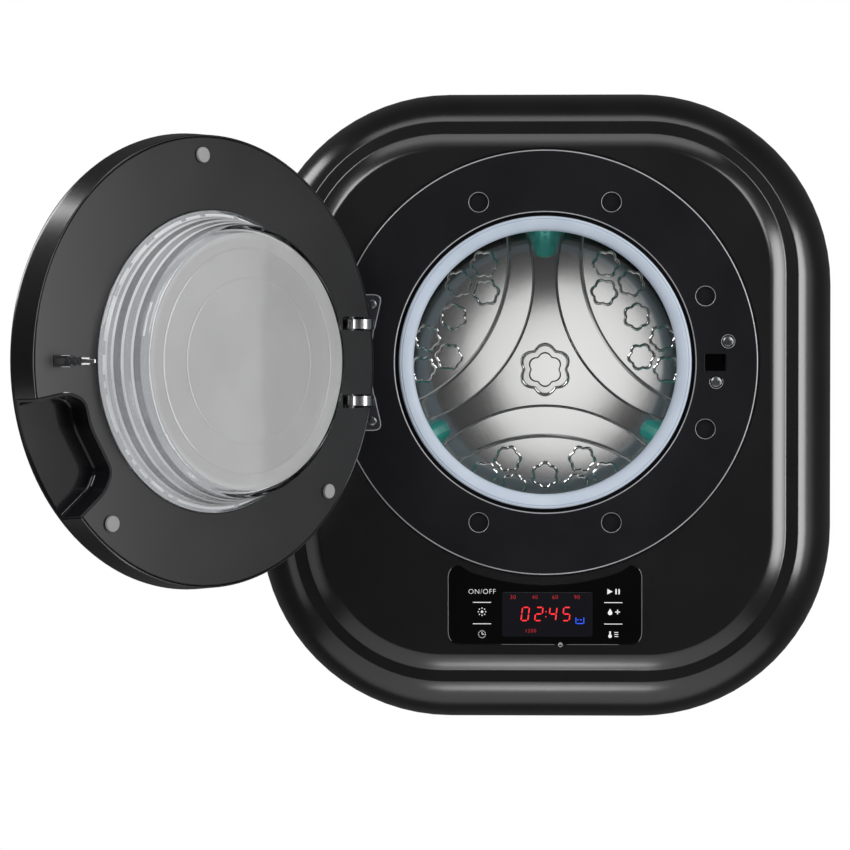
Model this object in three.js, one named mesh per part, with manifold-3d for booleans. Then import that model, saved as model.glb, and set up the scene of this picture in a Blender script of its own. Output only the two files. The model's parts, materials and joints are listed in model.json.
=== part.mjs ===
// A slim wall-mounted front-loading washing machine, with its round door standing open.
// Millimetres. +X to the right, +Z up, the front faces -Y. The wall is the plane y = 0 and the
// origin is the centre of the back of the cabinet.

import * as THREE from "three";
import { mergeVertices } from "three/addons/utils/BufferGeometryUtils.js";
import Module from "manifold-3d";

const wasm = await Module();
wasm.setup();

// ---------------------------------------------------------------- driving dimensions

const GAP = 0.3; // clearance between pieces that touch
const WALL = 3; // moulded wall thickness

// Cabinet outline, seen from the front, and how deep each tier of the front cover lies.
const CABINET = { halfW: 275, halfH: 300, radius: 184, rise: 0 };
const CREASE = { halfW: 239, halfH: 265, radius: 138, rise: 4 };
const LEDGE = { halfW: 229.5, halfH: 254.5, radius: 129, rise: 4 };
const PANEL = { halfW: 212, halfH: 242, radius: 120, rise: 4 };
const SHOULDER_DEPTH = 190;
const CREASE_DEPTH = 234;
const PANEL_DEPTH = 254;
const PARTING_DEPTH = 119; // where the front cover meets the rear housing
const HOUSING_INSET = 3;

// Door seat.
const DOOR_Z = 41.5; // height of the door axis over the cabinet centre
const RING_Y = -256; // front face of the seat ring
const RING_THICK = 4.6;
const RING_R = 199;
const OPENING_R = 201.2; // the front cover's opening round the seat ring
const RING_BORE_R = 142.5;
const WELL_CIRCLE_R = 162;
const WELL_R = 9;
const LATCH_X = 159.3; // the catch hole, right of the door axis
const CATCH_HOLE = { w: 20.5, h: 16.4 };

// Door. Its own frame has u to the free side, n towards the machine from its inner face.
const DOOR_GAP = 4; // between the seat ring and the closed door's inner face
const DOOR_R = 192.2;
const RIM_R = 195;
const RIM_DEPTH = 24;
const DOME_DEPTH = 32;
const PIN_FROM_EDGE = 12.9;
const PIN_DEPTH = 17;
const OPEN_ANGLE = THREE.MathUtils.degToRad(128.6);
const PANEL_BORE_R = 129;
const WINDOW_R = 149.7;
const ARM_Z = 35.5; // hinge arms, above and below the door axis
const ARM_H = 9.3;
const PIN_X = -DOOR_R + PIN_FROM_EDGE;
const PIN_Y = RING_Y - DOOR_GAP - PIN_DEPTH;

// Drum and tub.
const DRUM_Z = 35;
const DRUM_R = 172;
const DRUM_BACK_Y = -66;
const DRUM_LIP_Y = -208;
const DRUM_MOUTH_R = 136;
const TUB_R = 188;
const TUB_BACK_Y = -45;
const TUB_SPLIT_Y = -150;
const TUB_FRONT_Y = -216;
const NECK_R = 142.3; // tub neck that carries the gasket
const NECK_Y = -243;
const LIP_R = 123.4; // inner edge of the gasket
const LIFTER_CREST = { back: 115, front: 140 };

// Back plate of the drum: a raised three-armed star between three embossed lens pads.
const STAR_CUT = { reach: 189, radius: 150.5 };
const PAD_EDGE = { reach: 232, radius: 162 };
const PAD_AXES = [30, 150, 270]; // degrees
const ROSETTE_R = 13.4;
const ROSETTES = [
  [102, 22.5],
  [102, -22.5],
  [111, 0],
  [127.4, 15],
  [127.4, -15],
  [127.4, 30],
  [127.4, -30],
]; // distance from the axis, angle from the pad's own axis

// Drive.
const MOTOR = { x: -60, z: -222, radius: 52 };
const PULLEY_R = 98;
const MOTOR_PULLEY_R = 12.5;
const BELT_Y = { back: -7, front: -17 };

// Underside fittings, and the wall bolts.
const INLET = { x: -146, y: -70 };
const DRAIN = { x: 104, y: -88 };
const WALL_BOLTS = { x: 190, z: 215 };

// Control panel.
const FASCIA = { halfW: 91, bottom: -222.5, shoulder: -154.5, arcR: 208.5, corner: 12 };
const DISPLAY = { left: -40, right: 44.6, bottom: -215.5, top: -173.5 };

// Detergent compartment in the top.
const TRAY = { halfW: 70, back: -40.2, front: -101, bottom: 238, top: 293.7 };
const LID_TOP = CABINET.halfH - HOUSING_INSET;
const LID_AXIS = { y: -40.2, z: LID_TOP - 1.5 };

const TINY = 8; // facets round a screw
const SMALL = 10;
const MEDIUM = 16;
const LARGE = 32;

const FINISH = {
  gloss_black: { color: 0x161618, roughness: 0.12, metalness: 0 },
  ring_black: { color: 0x1d1d20, roughness: 0.22, metalness: 0 },
  housing_grey: { color: 0x2c2d30, roughness: 0.5, metalness: 0 },
  fascia_black: { color: 0x070708, roughness: 0.05, metalness: 0 },
  door_grey: { color: 0x4a4a4c, roughness: 0.25, metalness: 0.2 },
  smoked_glass: { color: 0x8c8f92, roughness: 0.05, metalness: 0, transparent: true, opacity: 0.5 },
  clear_glass: { color: 0xdfe3e6, roughness: 0.02, metalness: 0, transparent: true, opacity: 0.35 },
  rubber_blue: { color: 0xc3ccd8, roughness: 0.55, metalness: 0 },
  rubber_grey: { color: 0x9b9b9b, roughness: 0.7, metalness: 0 },
  rubber_black: { color: 0x19191a, roughness: 0.8, metalness: 0 },
  stainless: { color: 0xc9cac9, roughness: 0.2, metalness: 1 },
  steel: { color: 0x9a9c9e, roughness: 0.4, metalness: 1 },
  chrome: { color: 0xd9d9d9, roughness: 0.08, metalness: 1 },
  aluminium: { color: 0xb4b6b8, roughness: 0.5, metalness: 1 },
  lifter_teal: { color: 0x2f9d97, roughness: 0.35, metalness: 0 },
  tub_white: { color: 0xd4d6d6, roughness: 0.6, metalness: 0 },
  board_green: { color: 0x1e5a38, roughness: 0.6, metalness: 0 },
  galvanised: { color: 0x8e9294, roughness: 0.55, metalness: 0.9 },
};

// ---------------------------------------------------------------- solids

/** A closed solid from a geometry, whichever way its faces are wound. */
function solidOf(geometry) {
  const loose = geometry.index ? geometry.toNonIndexed() : geometry.clone();
  const bare = new THREE.BufferGeometry().setAttribute("position", loose.getAttribute("position"));
  const merged = mergeVertices(bare, 1e-4);
  const corners = merged.index.array;
  const kept = [];
  for (let i = 0; i < corners.length; i += 3) {
    const [a, b, c] = corners.slice(i, i + 3);
    if (a !== b && b !== c && c !== a) kept.push(a, b, c);
  }
  const build = (order) =>
    new wasm.Manifold(
      new wasm.Mesh({
        numProp: 3,
        vertProperties: merged.attributes.position.array,
        triVerts: new Uint32Array(order),
      }),
    );
  const made = build(kept);
  return made.volume() < 0 ? build(kept.reverse()) : made;
}

/** The geometry of a finished solid, ready for a mesh. */
function geometryOf(solid) {
  const mesh = solid.getMesh();
  const points = new Float32Array(mesh.numVert * 3);
  for (let i = 0; i < mesh.numVert; i++)
    points.set(mesh.vertProperties.subarray(i * mesh.numProp, i * mesh.numProp + 3), i * 3);
  const geometry = new THREE.BufferGeometry()
    .setAttribute("position", new THREE.BufferAttribute(points, 3))
    .setIndex(new THREE.BufferAttribute(mesh.triVerts, 1));
  geometry.computeVertexNormals();
  return geometry;
}

/** Puts a named piece of one finish in a group. */
function addPiece(group, name, solid, finish) {
  const mesh = new THREE.Mesh(geometryOf(solid), new THREE.MeshStandardMaterial(FINISH[finish]));
  mesh.name = name;
  group.add(mesh);
}

const joined = (solids) => solids.reduce((all, one) => all.add(one));
const without = (solid, cuts) => cuts.reduce((left, cut) => left.subtract(cut), solid);
const radians = THREE.MathUtils.degToRad;

/** A body of revolution about the Y direction. profile: [radius, y] pairs. */
function turned(profile, { x = 0, z = 0, facets = LARGE } = {}) {
  const points = profile.map(([r, y]) => new THREE.Vector2(r, y));
  const onAxis = profile[0][0] === 0 && profile.at(-1)[0] === 0;
  if (!onAxis) points.push(points[0].clone());
  return solidOf(new THREE.LatheGeometry(points, facets).translate(x, 0, z));
}

/** A round rod along Y, from its back to its front. */
function rodY(radius, back, front, x, z, facets = SMALL) {
  const length = back - front;
  const rod = new THREE.CylinderGeometry(radius, radius, length, facets);
  return solidOf(rod.translate(x, back - length / 2, z));
}

/** A round rod along Z. */
function rodZ(radius, bottom, top, x, y, facets = SMALL) {
  const rod = new THREE.CylinderGeometry(radius, radius, top - bottom, facets);
  return solidOf(rod.rotateX(Math.PI / 2).translate(x, y, (bottom + top) / 2));
}

/** A box from its lowest to its highest corner. */
function block([x0, y0, z0], [x1, y1, z1]) {
  const box = new THREE.BoxGeometry(x1 - x0, y1 - y0, z1 - z0);
  return solidOf(box.translate((x0 + x1) / 2, (y0 + y1) / 2, (z0 + z1) / 2));
}

/** An outline drawn in X and Z, carried along Y from its back to its front. */
function slab(shape, back, front, curveSegments = 8) {
  const options = { depth: back - front, bevelEnabled: false, curveSegments };
  const geometry = new THREE.ExtrudeGeometry(shape, options);
  return solidOf(geometry.rotateX(Math.PI / 2).translate(0, back, 0));
}

/** An outline drawn in X and Y, carried up Z. */
function column(shape, bottom, top, curveSegments = 8) {
  const options = { depth: top - bottom, bevelEnabled: false, curveSegments };
  return solidOf(new THREE.ExtrudeGeometry(shape, options).translate(0, 0, bottom));
}

/** A round tube along a smooth path. */
function hose(path, radius, steps, sides = 10) {
  const curve = new THREE.CatmullRomCurve3(path.map((p) => new THREE.Vector3(...p)));
  const section = new THREE.Shape(
    Array.from({ length: sides }, (_, i) => {
      const a = (2 * Math.PI * i) / sides;
      return new THREE.Vector2(radius * Math.cos(a), radius * Math.sin(a));
    }),
  );
  return solidOf(
    new THREE.ExtrudeGeometry(section, { steps, extrudePath: curve, bevelEnabled: false }),
  );
}

/** A band of even width along a path of [x, y] points, as an outline. */
function ribbon(path, width) {
  const side = (sign) =>
    path.map(([x, y], i) => {
      const [ax, ay] = path[Math.max(i - 1, 0)];
      const [bx, by] = path[Math.min(i + 1, path.length - 1)];
      const length = Math.hypot(bx - ax, by - ay);
      const reach = (sign * width) / 2 / length;
      return new THREE.Vector2(x - (by - ay) * reach, y + (bx - ax) * reach);
    });
  return new THREE.Shape([...side(1), ...side(-1).reverse()]);
}

/** A rounded rectangle in X and Z as a ring of points, centred and raised by its rise. */
function roundedRing({ halfW, halfH, radius, rise }, steps = 6) {
  const ring = [];
  [0, 90, 180, 270].forEach((start) => {
    const cx = Math.sign(Math.cos(radians(start + 45))) * (halfW - radius);
    const cz = Math.sign(Math.sin(radians(start + 45))) * (halfH - radius);
    for (let i = 0; i <= steps; i++) {
      const a = radians(start + (90 * i) / steps);
      ring.push([cx + radius * Math.cos(a), rise + cz + radius * Math.sin(a)]);
    }
  });
  return ring;
}

/** The outline one step in from another, concentric with it. */
function inset(section, by) {
  const { halfW, halfH, radius, rise } = section;
  return { halfW: halfW - by, halfH: halfH - by, radius: radius - by, rise };
}

/** A blend of two outlines, from 0 (the first) to 1 (the second). */
function between(a, b, t) {
  return Object.fromEntries(Object.keys(a).map((k) => [k, a[k] + (b[k] - a[k]) * t]));
}

/** A solid through rings of equal point counts, [[ring of x, z], y] pairs, capped at both ends. */
function lofted(sections) {
  const count = sections[0][0].length;
  const points = sections.flatMap(([ring, y]) => ring.map(([x, z]) => [x, y, z]));
  const faces = [];
  for (let s = 0; s + 1 < sections.length; s++)
    for (let i = 0; i < count; i++) {
      const a = s * count + i;
      const b = s * count + ((i + 1) % count);
      faces.push(a, b, a + count, b, b + count, a + count);
    }
  const last = (sections.length - 1) * count;
  for (let i = 1; i + 1 < count; i++) faces.push(0, i + 1, i, last, last + i, last + i + 1);
  const geometry = new THREE.BufferGeometry()
    .setAttribute("position", new THREE.Float32BufferAttribute(points.flat(), 3))
    .setIndex(faces);
  return solidOf(geometry);
}

/** A polygon with rounded corners, as an outline. corners: [x, z, radius]. */
function roundedPolygon(corners) {
  const shape = new THREE.Shape();
  corners.forEach(([x, z, radius], i) => {
    const before = corners.at(i - 1);
    const after = corners[(i + 1) % corners.length];
    const towards = ([tx, tz]) => {
      const length = Math.hypot(tx - x, tz - z);
      return [x + ((tx - x) * radius) / length, z + ((tz - z) * radius) / length];
    };
    const start = towards(before);
    if (i === 0) shape.moveTo(...start);
    else shape.lineTo(...start);
    if (radius > 0) shape.quadraticCurveTo(x, z, ...towards(after));
  });
  shape.closePath();
  return shape;
}

/** A flower-like outline of six soft lobes. */
function rosette(cx, cz, radius, turn = 0, points = 6) {
  const lobe = 0.055 * radius;
  return new THREE.Shape(
    Array.from({ length: points }, (_, i) => {
      const a = (2 * Math.PI * i) / points;
      const r = radius - lobe + lobe * Math.cos(6 * a);
      return new THREE.Vector2(cx + r * Math.cos(a + turn), cz + r * Math.sin(a + turn));
    }),
  );
}

// ---------------------------------------------------------------- cabinet

/** The front cover's outer skin as rings, from the parting line to the flat front panel. */
function coverSections() {
  const rollTo = 0.47 * Math.PI; // how far the shoulder rolls over from the side wall
  const shoulder = [0.35, 0.7, 1].map((share) => {
    const angle = share * rollTo;
    const t = (1 - Math.cos(angle)) / (1 - Math.cos(rollTo));
    const forward = (Math.sin(angle) / Math.sin(rollTo)) * (CREASE_DEPTH - SHOULDER_DEPTH);
    return [between(CABINET, CREASE, t), SHOULDER_DEPTH + forward];
  });
  return [
    [inset(CABINET, 1.5), PARTING_DEPTH],
    [CABINET, SHOULDER_DEPTH],
    ...shoulder,
    [LEDGE, CREASE_DEPTH + 0.4],
    [between(LEDGE, PANEL, 0.45), CREASE_DEPTH + 13],
    [PANEL, PANEL_DEPTH],
  ];
}

/** The cover's inner side: the same skin pushed in by the wall, with fewer rings. */
function coverHollow() {
  const skin = coverSections();
  return [0, 1, 3, 4, 5, 7].map((i) => [inset(skin[i][0], WALL), skin[i][1] - (i ? WALL : 1)]);
}

const loftForward = (sections) =>
  lofted(sections.map(([section, depth]) => [roundedRing(section), -depth]));

/** The outline of the control fascia: its top edge keeps even distance from the seat ring. */
function fasciaOutline(grow) {
  const { halfW, bottom, shoulder, arcR, corner } = FASCIA;
  const w = halfW + grow;
  const low = bottom - grow;
  const high = shoulder + 6 + grow;
  const radius = arcR - grow;
  const shape = new THREE.Shape();
  shape.moveTo(-w, low + corner);
  shape.quadraticCurveTo(-w, low, -w + corner, low);
  shape.lineTo(w - corner, low);
  shape.quadraticCurveTo(w, low, w, low + corner);
  shape.lineTo(w, high - corner);
  shape.quadraticCurveTo(w, high, w - corner, high);
  const reach = Math.asin((w - corner - 8) / radius);
  for (let i = 0; i <= 8; i++) {
    const a = reach - (2 * reach * i) / 8;
    shape.lineTo(radius * Math.sin(a), DOOR_Z - radius * Math.cos(a));
  }
  shape.lineTo(-w + corner, high);
  shape.quadraticCurveTo(-w, high, -w, high - corner);
  return shape;
}

const rectangle = ({ left, right, bottom, top }, grow = 0) =>
  roundedPolygon([
    [left - grow, bottom - grow, 1.5],
    [right + grow, bottom - grow, 1.5],
    [right + grow, top + grow, 1.5],
    [left - grow, top + grow, 1.5],
  ]);

function addCabinet(group) {
  const y = (depth) => -depth;
  const ringSeat = { flangeR: 206, boreR: 184, back: y(PANEL_DEPTH) + 6 };
  const shell = loftForward(coverSections()).subtract(loftForward(coverHollow()));
  const flange = turned(
    [
      [ringSeat.boreR, ringSeat.back],
      [ringSeat.flangeR, ringSeat.back],
      [ringSeat.flangeR, y(PANEL_DEPTH) + 2.5],
      [ringSeat.boreR, y(PANEL_DEPTH) + 2.5],
    ],
    { z: DOOR_Z },
  );
  const cover = without(shell.add(flange), [
    rodY(OPENING_R, RING_Y + RING_THICK + GAP, RING_Y - 6, 0, DOOR_Z, LARGE),
    rodY(ringSeat.boreR, y(230), RING_Y - 6, 0, DOOR_Z, LARGE),
    slab(fasciaOutline(GAP), y(PANEL_DEPTH) + 2.1, y(PANEL_DEPTH) - 1, 3),
    slab(rectangle(DISPLAY, -4), y(PANEL_DEPTH) + 6, y(PANEL_DEPTH), 2),
  ]);
  addPiece(group, "front_cover", cover, "gloss_black");

  const back = inset(CABINET, HOUSING_INSET);
  const wrap = lofted([
    [roundedRing(inset(back, 6)), -0.4],
    [roundedRing(back), -16],
    [roundedRing(back), -PARTING_DEPTH + GAP],
  ]);
  const hollow = lofted([
    [roundedRing(inset(back, 6 + WALL)), 1],
    [roundedRing(inset(back, WALL)), -16],
    [roundedRing(inset(back, WALL)), -PARTING_DEPTH - 1],
  ]);
  const housing = without(wrap.subtract(hollow), [
    block([-TRAY.halfW - 2.4, TRAY.front - 2.4, 280], [TRAY.halfW + 2.4, TRAY.back + 2.7, 310]),
    rodZ(13.6, -310, -250, INLET.x, INLET.y),
    rodZ(9.6, -310, -280, DRAIN.x, DRAIN.y),
    rodZ(9.4, -310, -280, 20, -60),
  ]);
  addPiece(group, "rear_housing", housing, "housing_grey");

  const plate = inset(back, 6 + WALL + GAP);
  const sheet = lofted([
    [roundedRing(plate), 0],
    [roundedRing(plate), -2.5],
  ]);
  const stiffener = (x0, z0, x1, z1) => block([x0, -5, z0], [x1, -2.3, z1]);
  const panel = without(
    joined([
      sheet,
      stiffener(-150, 236, 150, 242),
      stiffener(-230, -60, -224, 120),
      stiffener(224, -60, 230, 120),
    ]),
    boltPlaces().map(([x, z]) => rodY(10, 1, -6, x, z)),
  );
  addPiece(group, "back_panel", panel, "galvanised");
  boltPlaces().forEach(([x, z], i) => {
    const bush = turned(
      [
        [5.2, 0],
        [9.7, 0],
        [9.7, -2.8],
        [16, -2.8],
        [16, -7.5],
        [5.2, -7.5],
      ],
      { x, z, facets: SMALL },
    );
    addPiece(group, "wall_bush_" + (i + 1), bush, "rubber_black");
  });
}

const boltPlaces = () =>
  [-1, 1].flatMap((side) => [1, -1].map((up) => [side * WALL_BOLTS.x, up * WALL_BOLTS.z]));

function addControls(group) {
  const front = -PANEL_DEPTH + 0.3;
  const back = -PANEL_DEPTH + 1.8;
  const fascia = slab(fasciaOutline(0), back, front, 3).subtract(
    slab(rectangle(DISPLAY), back + 1, front - 1, 2),
  );
  addPiece(group, "control_fascia", fascia, "fascia_black");
  addPiece(group, "display_window", slab(rectangle(DISPLAY, -GAP), back, front, 2), "smoked_glass");
  const board = block([-84, -PANEL_DEPTH + 3.3, -221], [84, -PANEL_DEPTH + 4.9, -171]);
  const parts = [-60, -20, 20, 60].map((x) =>
    block([x - 9, -PANEL_DEPTH + 4.8, -206], [x + 9, -PANEL_DEPTH + 9, -190]),
  );
  addPiece(group, "control_board", joined([board, ...parts]), "board_green");
}

// ---------------------------------------------------------------- door seat

const wellPlaces = () =>
  [22.5, 67.5, 112.5, -22.5, -67.5, -112.5].map((a) => [
    WELL_CIRCLE_R * Math.cos(radians(a)),
    DOOR_Z + WELL_CIRCLE_R * Math.sin(radians(a)),
  ]);

const LOCK_SCREWS = { upper: [170.9, 19.7], lower: [159.8, -18] };
const HINGE_SCREWS = { upper: [-161.7, 54.7], lower: [-161.7, -54.7] };

/** The hinge's base plate: two ears joined by a strip whose inner edge follows the gasket. */
function hingePlate(grow) {
  const strip = 162.7 - grow;
  const left = -169.3 - grow;
  const ear = (up) => {
    const z = (value) => DOOR_Z + up * value;
    return roundedPolygon([
      [left, z(28), 0],
      [-158.4 + grow, z(30), 0],
      [-157.2 + grow, z(40), 0],
      [-151.6 + grow, z(63.8 + grow), 9],
      [left, z(63.8 + grow), 1],
    ]);
  };
  const middle = new THREE.Shape();
  middle.moveTo(left, DOOR_Z - 30.5);
  for (let i = -2; i <= 2; i++) {
    const a = radians(5.4 * i);
    middle.lineTo(-strip * Math.cos(a), DOOR_Z + strip * Math.sin(a));
  }
  middle.lineTo(left, DOOR_Z + 30.5);
  middle.closePath();
  return (back, front) => joined([ear(1), ear(-1), middle].map((s) => slab(s, back, front, 3)));
}

function addDoorSeat(group) {
  const back = RING_Y + RING_THICK;
  const blank = turned(
    [
      [RING_BORE_R, back],
      [RING_R, back],
      [RING_R, RING_Y + 1.4],
      [RING_R - 1.3, RING_Y],
      [RING_BORE_R, RING_Y],
    ],
    { z: DOOR_Z },
  );
  const catchHole = block(
    [LATCH_X - CATCH_HOLE.w / 2, RING_Y - 2, DOOR_Z - CATCH_HOLE.h / 2],
    [LATCH_X + CATCH_HOLE.w / 2, back + 2, DOOR_Z + CATCH_HOLE.h / 2],
  );
  const screwHoles = [...Object.values(LOCK_SCREWS), ...Object.values(HINGE_SCREWS)].map(
    ([x, z]) => rodY(2.6, back + 1, RING_Y - 1, x, DOOR_Z + z, TINY),
  );
  const screwSeats = Object.values(LOCK_SCREWS).map(([x, z]) =>
    rodY(6, RING_Y + 1.6, RING_Y - 1, x, DOOR_Z + z),
  );
  const ring = without(blank, [
    ...wellPlaces().map(([x, z]) => rodY(WELL_R, RING_Y + 3.2, RING_Y - 1, x, z)),
    catchHole,
    ...screwHoles,
    ...screwSeats,
    hingePlate(GAP)(RING_Y + 1.6, RING_Y - 1),
  ]);
  addPiece(group, "seat_ring", ring, "ring_black");

  const screw = (x, z, face, headR, length) =>
    turned(
      [
        [0, face],
        [headR * 0.8, face],
        [headR, face + 1.3],
        [2.1, face + 1.3],
        [2.1, face + length],
        [0, face + length],
      ],
      { x, z: DOOR_Z + z, facets: TINY },
    );
  for (const [place, [x, z]] of Object.entries(LOCK_SCREWS))
    addPiece(group, "lock_screw_" + place, screw(x, z, RING_Y, 5.2, 13), "chrome");
  for (const [place, [x, z]] of Object.entries(HINGE_SCREWS))
    addPiece(group, "hinge_screw_" + place, screw(x, z, RING_Y - 1.5, 4.3, 9), "chrome");

  addHingeBracket(group);
  addDoorLock(group);
  addGasket(group);
}

/** The fixed half of the hinge: a plate on the seat ring with two strap arms out to the pin. */
function addHingeBracket(group) {
  const plateBack = RING_Y + 1.3;
  const plateFront = RING_Y - 0.9;
  const eye = { outer: 5, bore: 3.4 };
  const arms = [1, -1].map((up) => {
    const middle = DOOR_Z + up * ARM_Z;
    const strap = ribbon(
      [
        [-161, plateBack - 0.2],
        [-160.8, RING_Y - 9],
        [-163.6, RING_Y - 17],
        [-168.8, RING_Y - 21.4],
        [PIN_X + 3.4, PIN_Y - 1],
      ],
      2.8,
    );
    const foot = block(
      [-168.6, plateFront - 1.6, middle - ARM_H / 2],
      [-159.8, plateBack - 0.2, middle + ARM_H / 2],
    );
    return joined([
      column(strap, middle - ARM_H / 2, middle + ARM_H / 2),
      foot,
      rodZ(eye.outer, middle - ARM_H / 2, middle + ARM_H / 2, PIN_X, PIN_Y, SMALL),
    ]).subtract(rodZ(eye.bore, middle - ARM_H, middle + ARM_H, PIN_X, PIN_Y, SMALL));
  });
  const holes = Object.values(HINGE_SCREWS).flatMap(([x, z]) => [
    rodY(2.6, plateBack + 1, plateFront - 1, x, DOOR_Z + z, TINY),
    rodY(4.8, plateFront + 1, plateFront - 1, x, DOOR_Z + z, TINY),
  ]);
  const plate = hingePlate(0)(plateBack, plateFront);
  addPiece(group, "hinge_bracket", without(joined([plate, ...arms]), holes), "chrome");
}

/** The interlock behind the catch hole, with the slot that the latch drops into. */
function addDoorLock(group) {
  const front = RING_Y + RING_THICK + GAP;
  const slot = { left: LATCH_X - 9.6, right: LATCH_X + 9.6, half: 7.8, floor: -221 };
  const body = joined([
    block([148.8, -218, DOOR_Z - 27], [180.6, front, DOOR_Z + 29]),
    block([176, -222, DOOR_Z - 20], [190, -244, DOOR_Z + 20]),
  ]);
  const cuts = [
    block([slot.left, slot.floor, DOOR_Z - slot.half], [slot.right, front - 1, DOOR_Z + slot.half]),
    ...Object.values(LOCK_SCREWS).map(([x, z]) =>
      rodY(2.6, RING_Y + 15, front - 1, x, DOOR_Z + z, TINY),
    ),
  ];
  addPiece(group, "door_lock", without(body, cuts), "rubber_black");
}

/** The door boot: a soft lip in the seat ring, a fold, and a sleeve over the tub's neck. */
function addGasket(group) {
  const sleeve = NECK_R + GAP;
  const boot = turned(
    [
      [LIP_R, RING_Y + 7.6],
      [LIP_R + 1.2, RING_Y + 3],
      [LIP_R + 4.4, RING_Y + 0.4],
      [134.6, RING_Y - 1.2],
      [137, RING_Y + 0.4],
      [137.4, RING_Y + 5.4],
      [sleeve + 3.2, RING_Y + 8.6],
      [sleeve + 3.2, NECK_Y + 7],
      [sleeve, NECK_Y + 7],
      [sleeve, NECK_Y - 0.7],
      [LIP_R + 4, RING_Y + 8.8],
    ],
    { z: DOOR_Z },
  );
  addPiece(group, "gasket", boot, "rubber_blue");
  const band = { inner: sleeve + 3.5, outer: sleeve + 5 };
  const clamp = turned(
    [
      [band.inner, NECK_Y + 1.4],
      [band.outer, NECK_Y + 1.4],
      [band.outer, NECK_Y + 6.4],
      [band.inner, NECK_Y + 6.4],
    ],
    { z: DOOR_Z },
  );
  // The band's worm screw stands at the bottom, clear of the lock.
  const worm = block(
    [-9, NECK_Y + 0.4, DOOR_Z - band.outer - 6],
    [9, NECK_Y + 7.4, DOOR_Z - band.inner - 0.6],
  );
  addPiece(group, "gasket_clamp", clamp.add(worm), "steel");
}

// ---------------------------------------------------------------- tub and drum

const SHAFT = { rearR: 10, frontR: 12, step: -36 };
const HUB = { back: -21, front: -55, outer: 31 };
const BEARINGS = {
  rear: { inner: 10.5, outer: 24, back: -22, front: -33, pocket: [-19, -33.3] },
  front: { inner: 12.5, outer: 26, back: -38, front: -50.5, pocket: [-37.7, -56.5] },
};

const HEATER = { radius: 3, orbit: 176.4, front: -184 };

/** Where the heater's rod crosses the tub's section, by its angle from the lowest point. */
function heaterSpot(degrees) {
  const a = radians(270 + degrees);
  return [HEATER.orbit * Math.cos(a), DRUM_Z + HEATER.orbit * Math.sin(a)];
}

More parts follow.
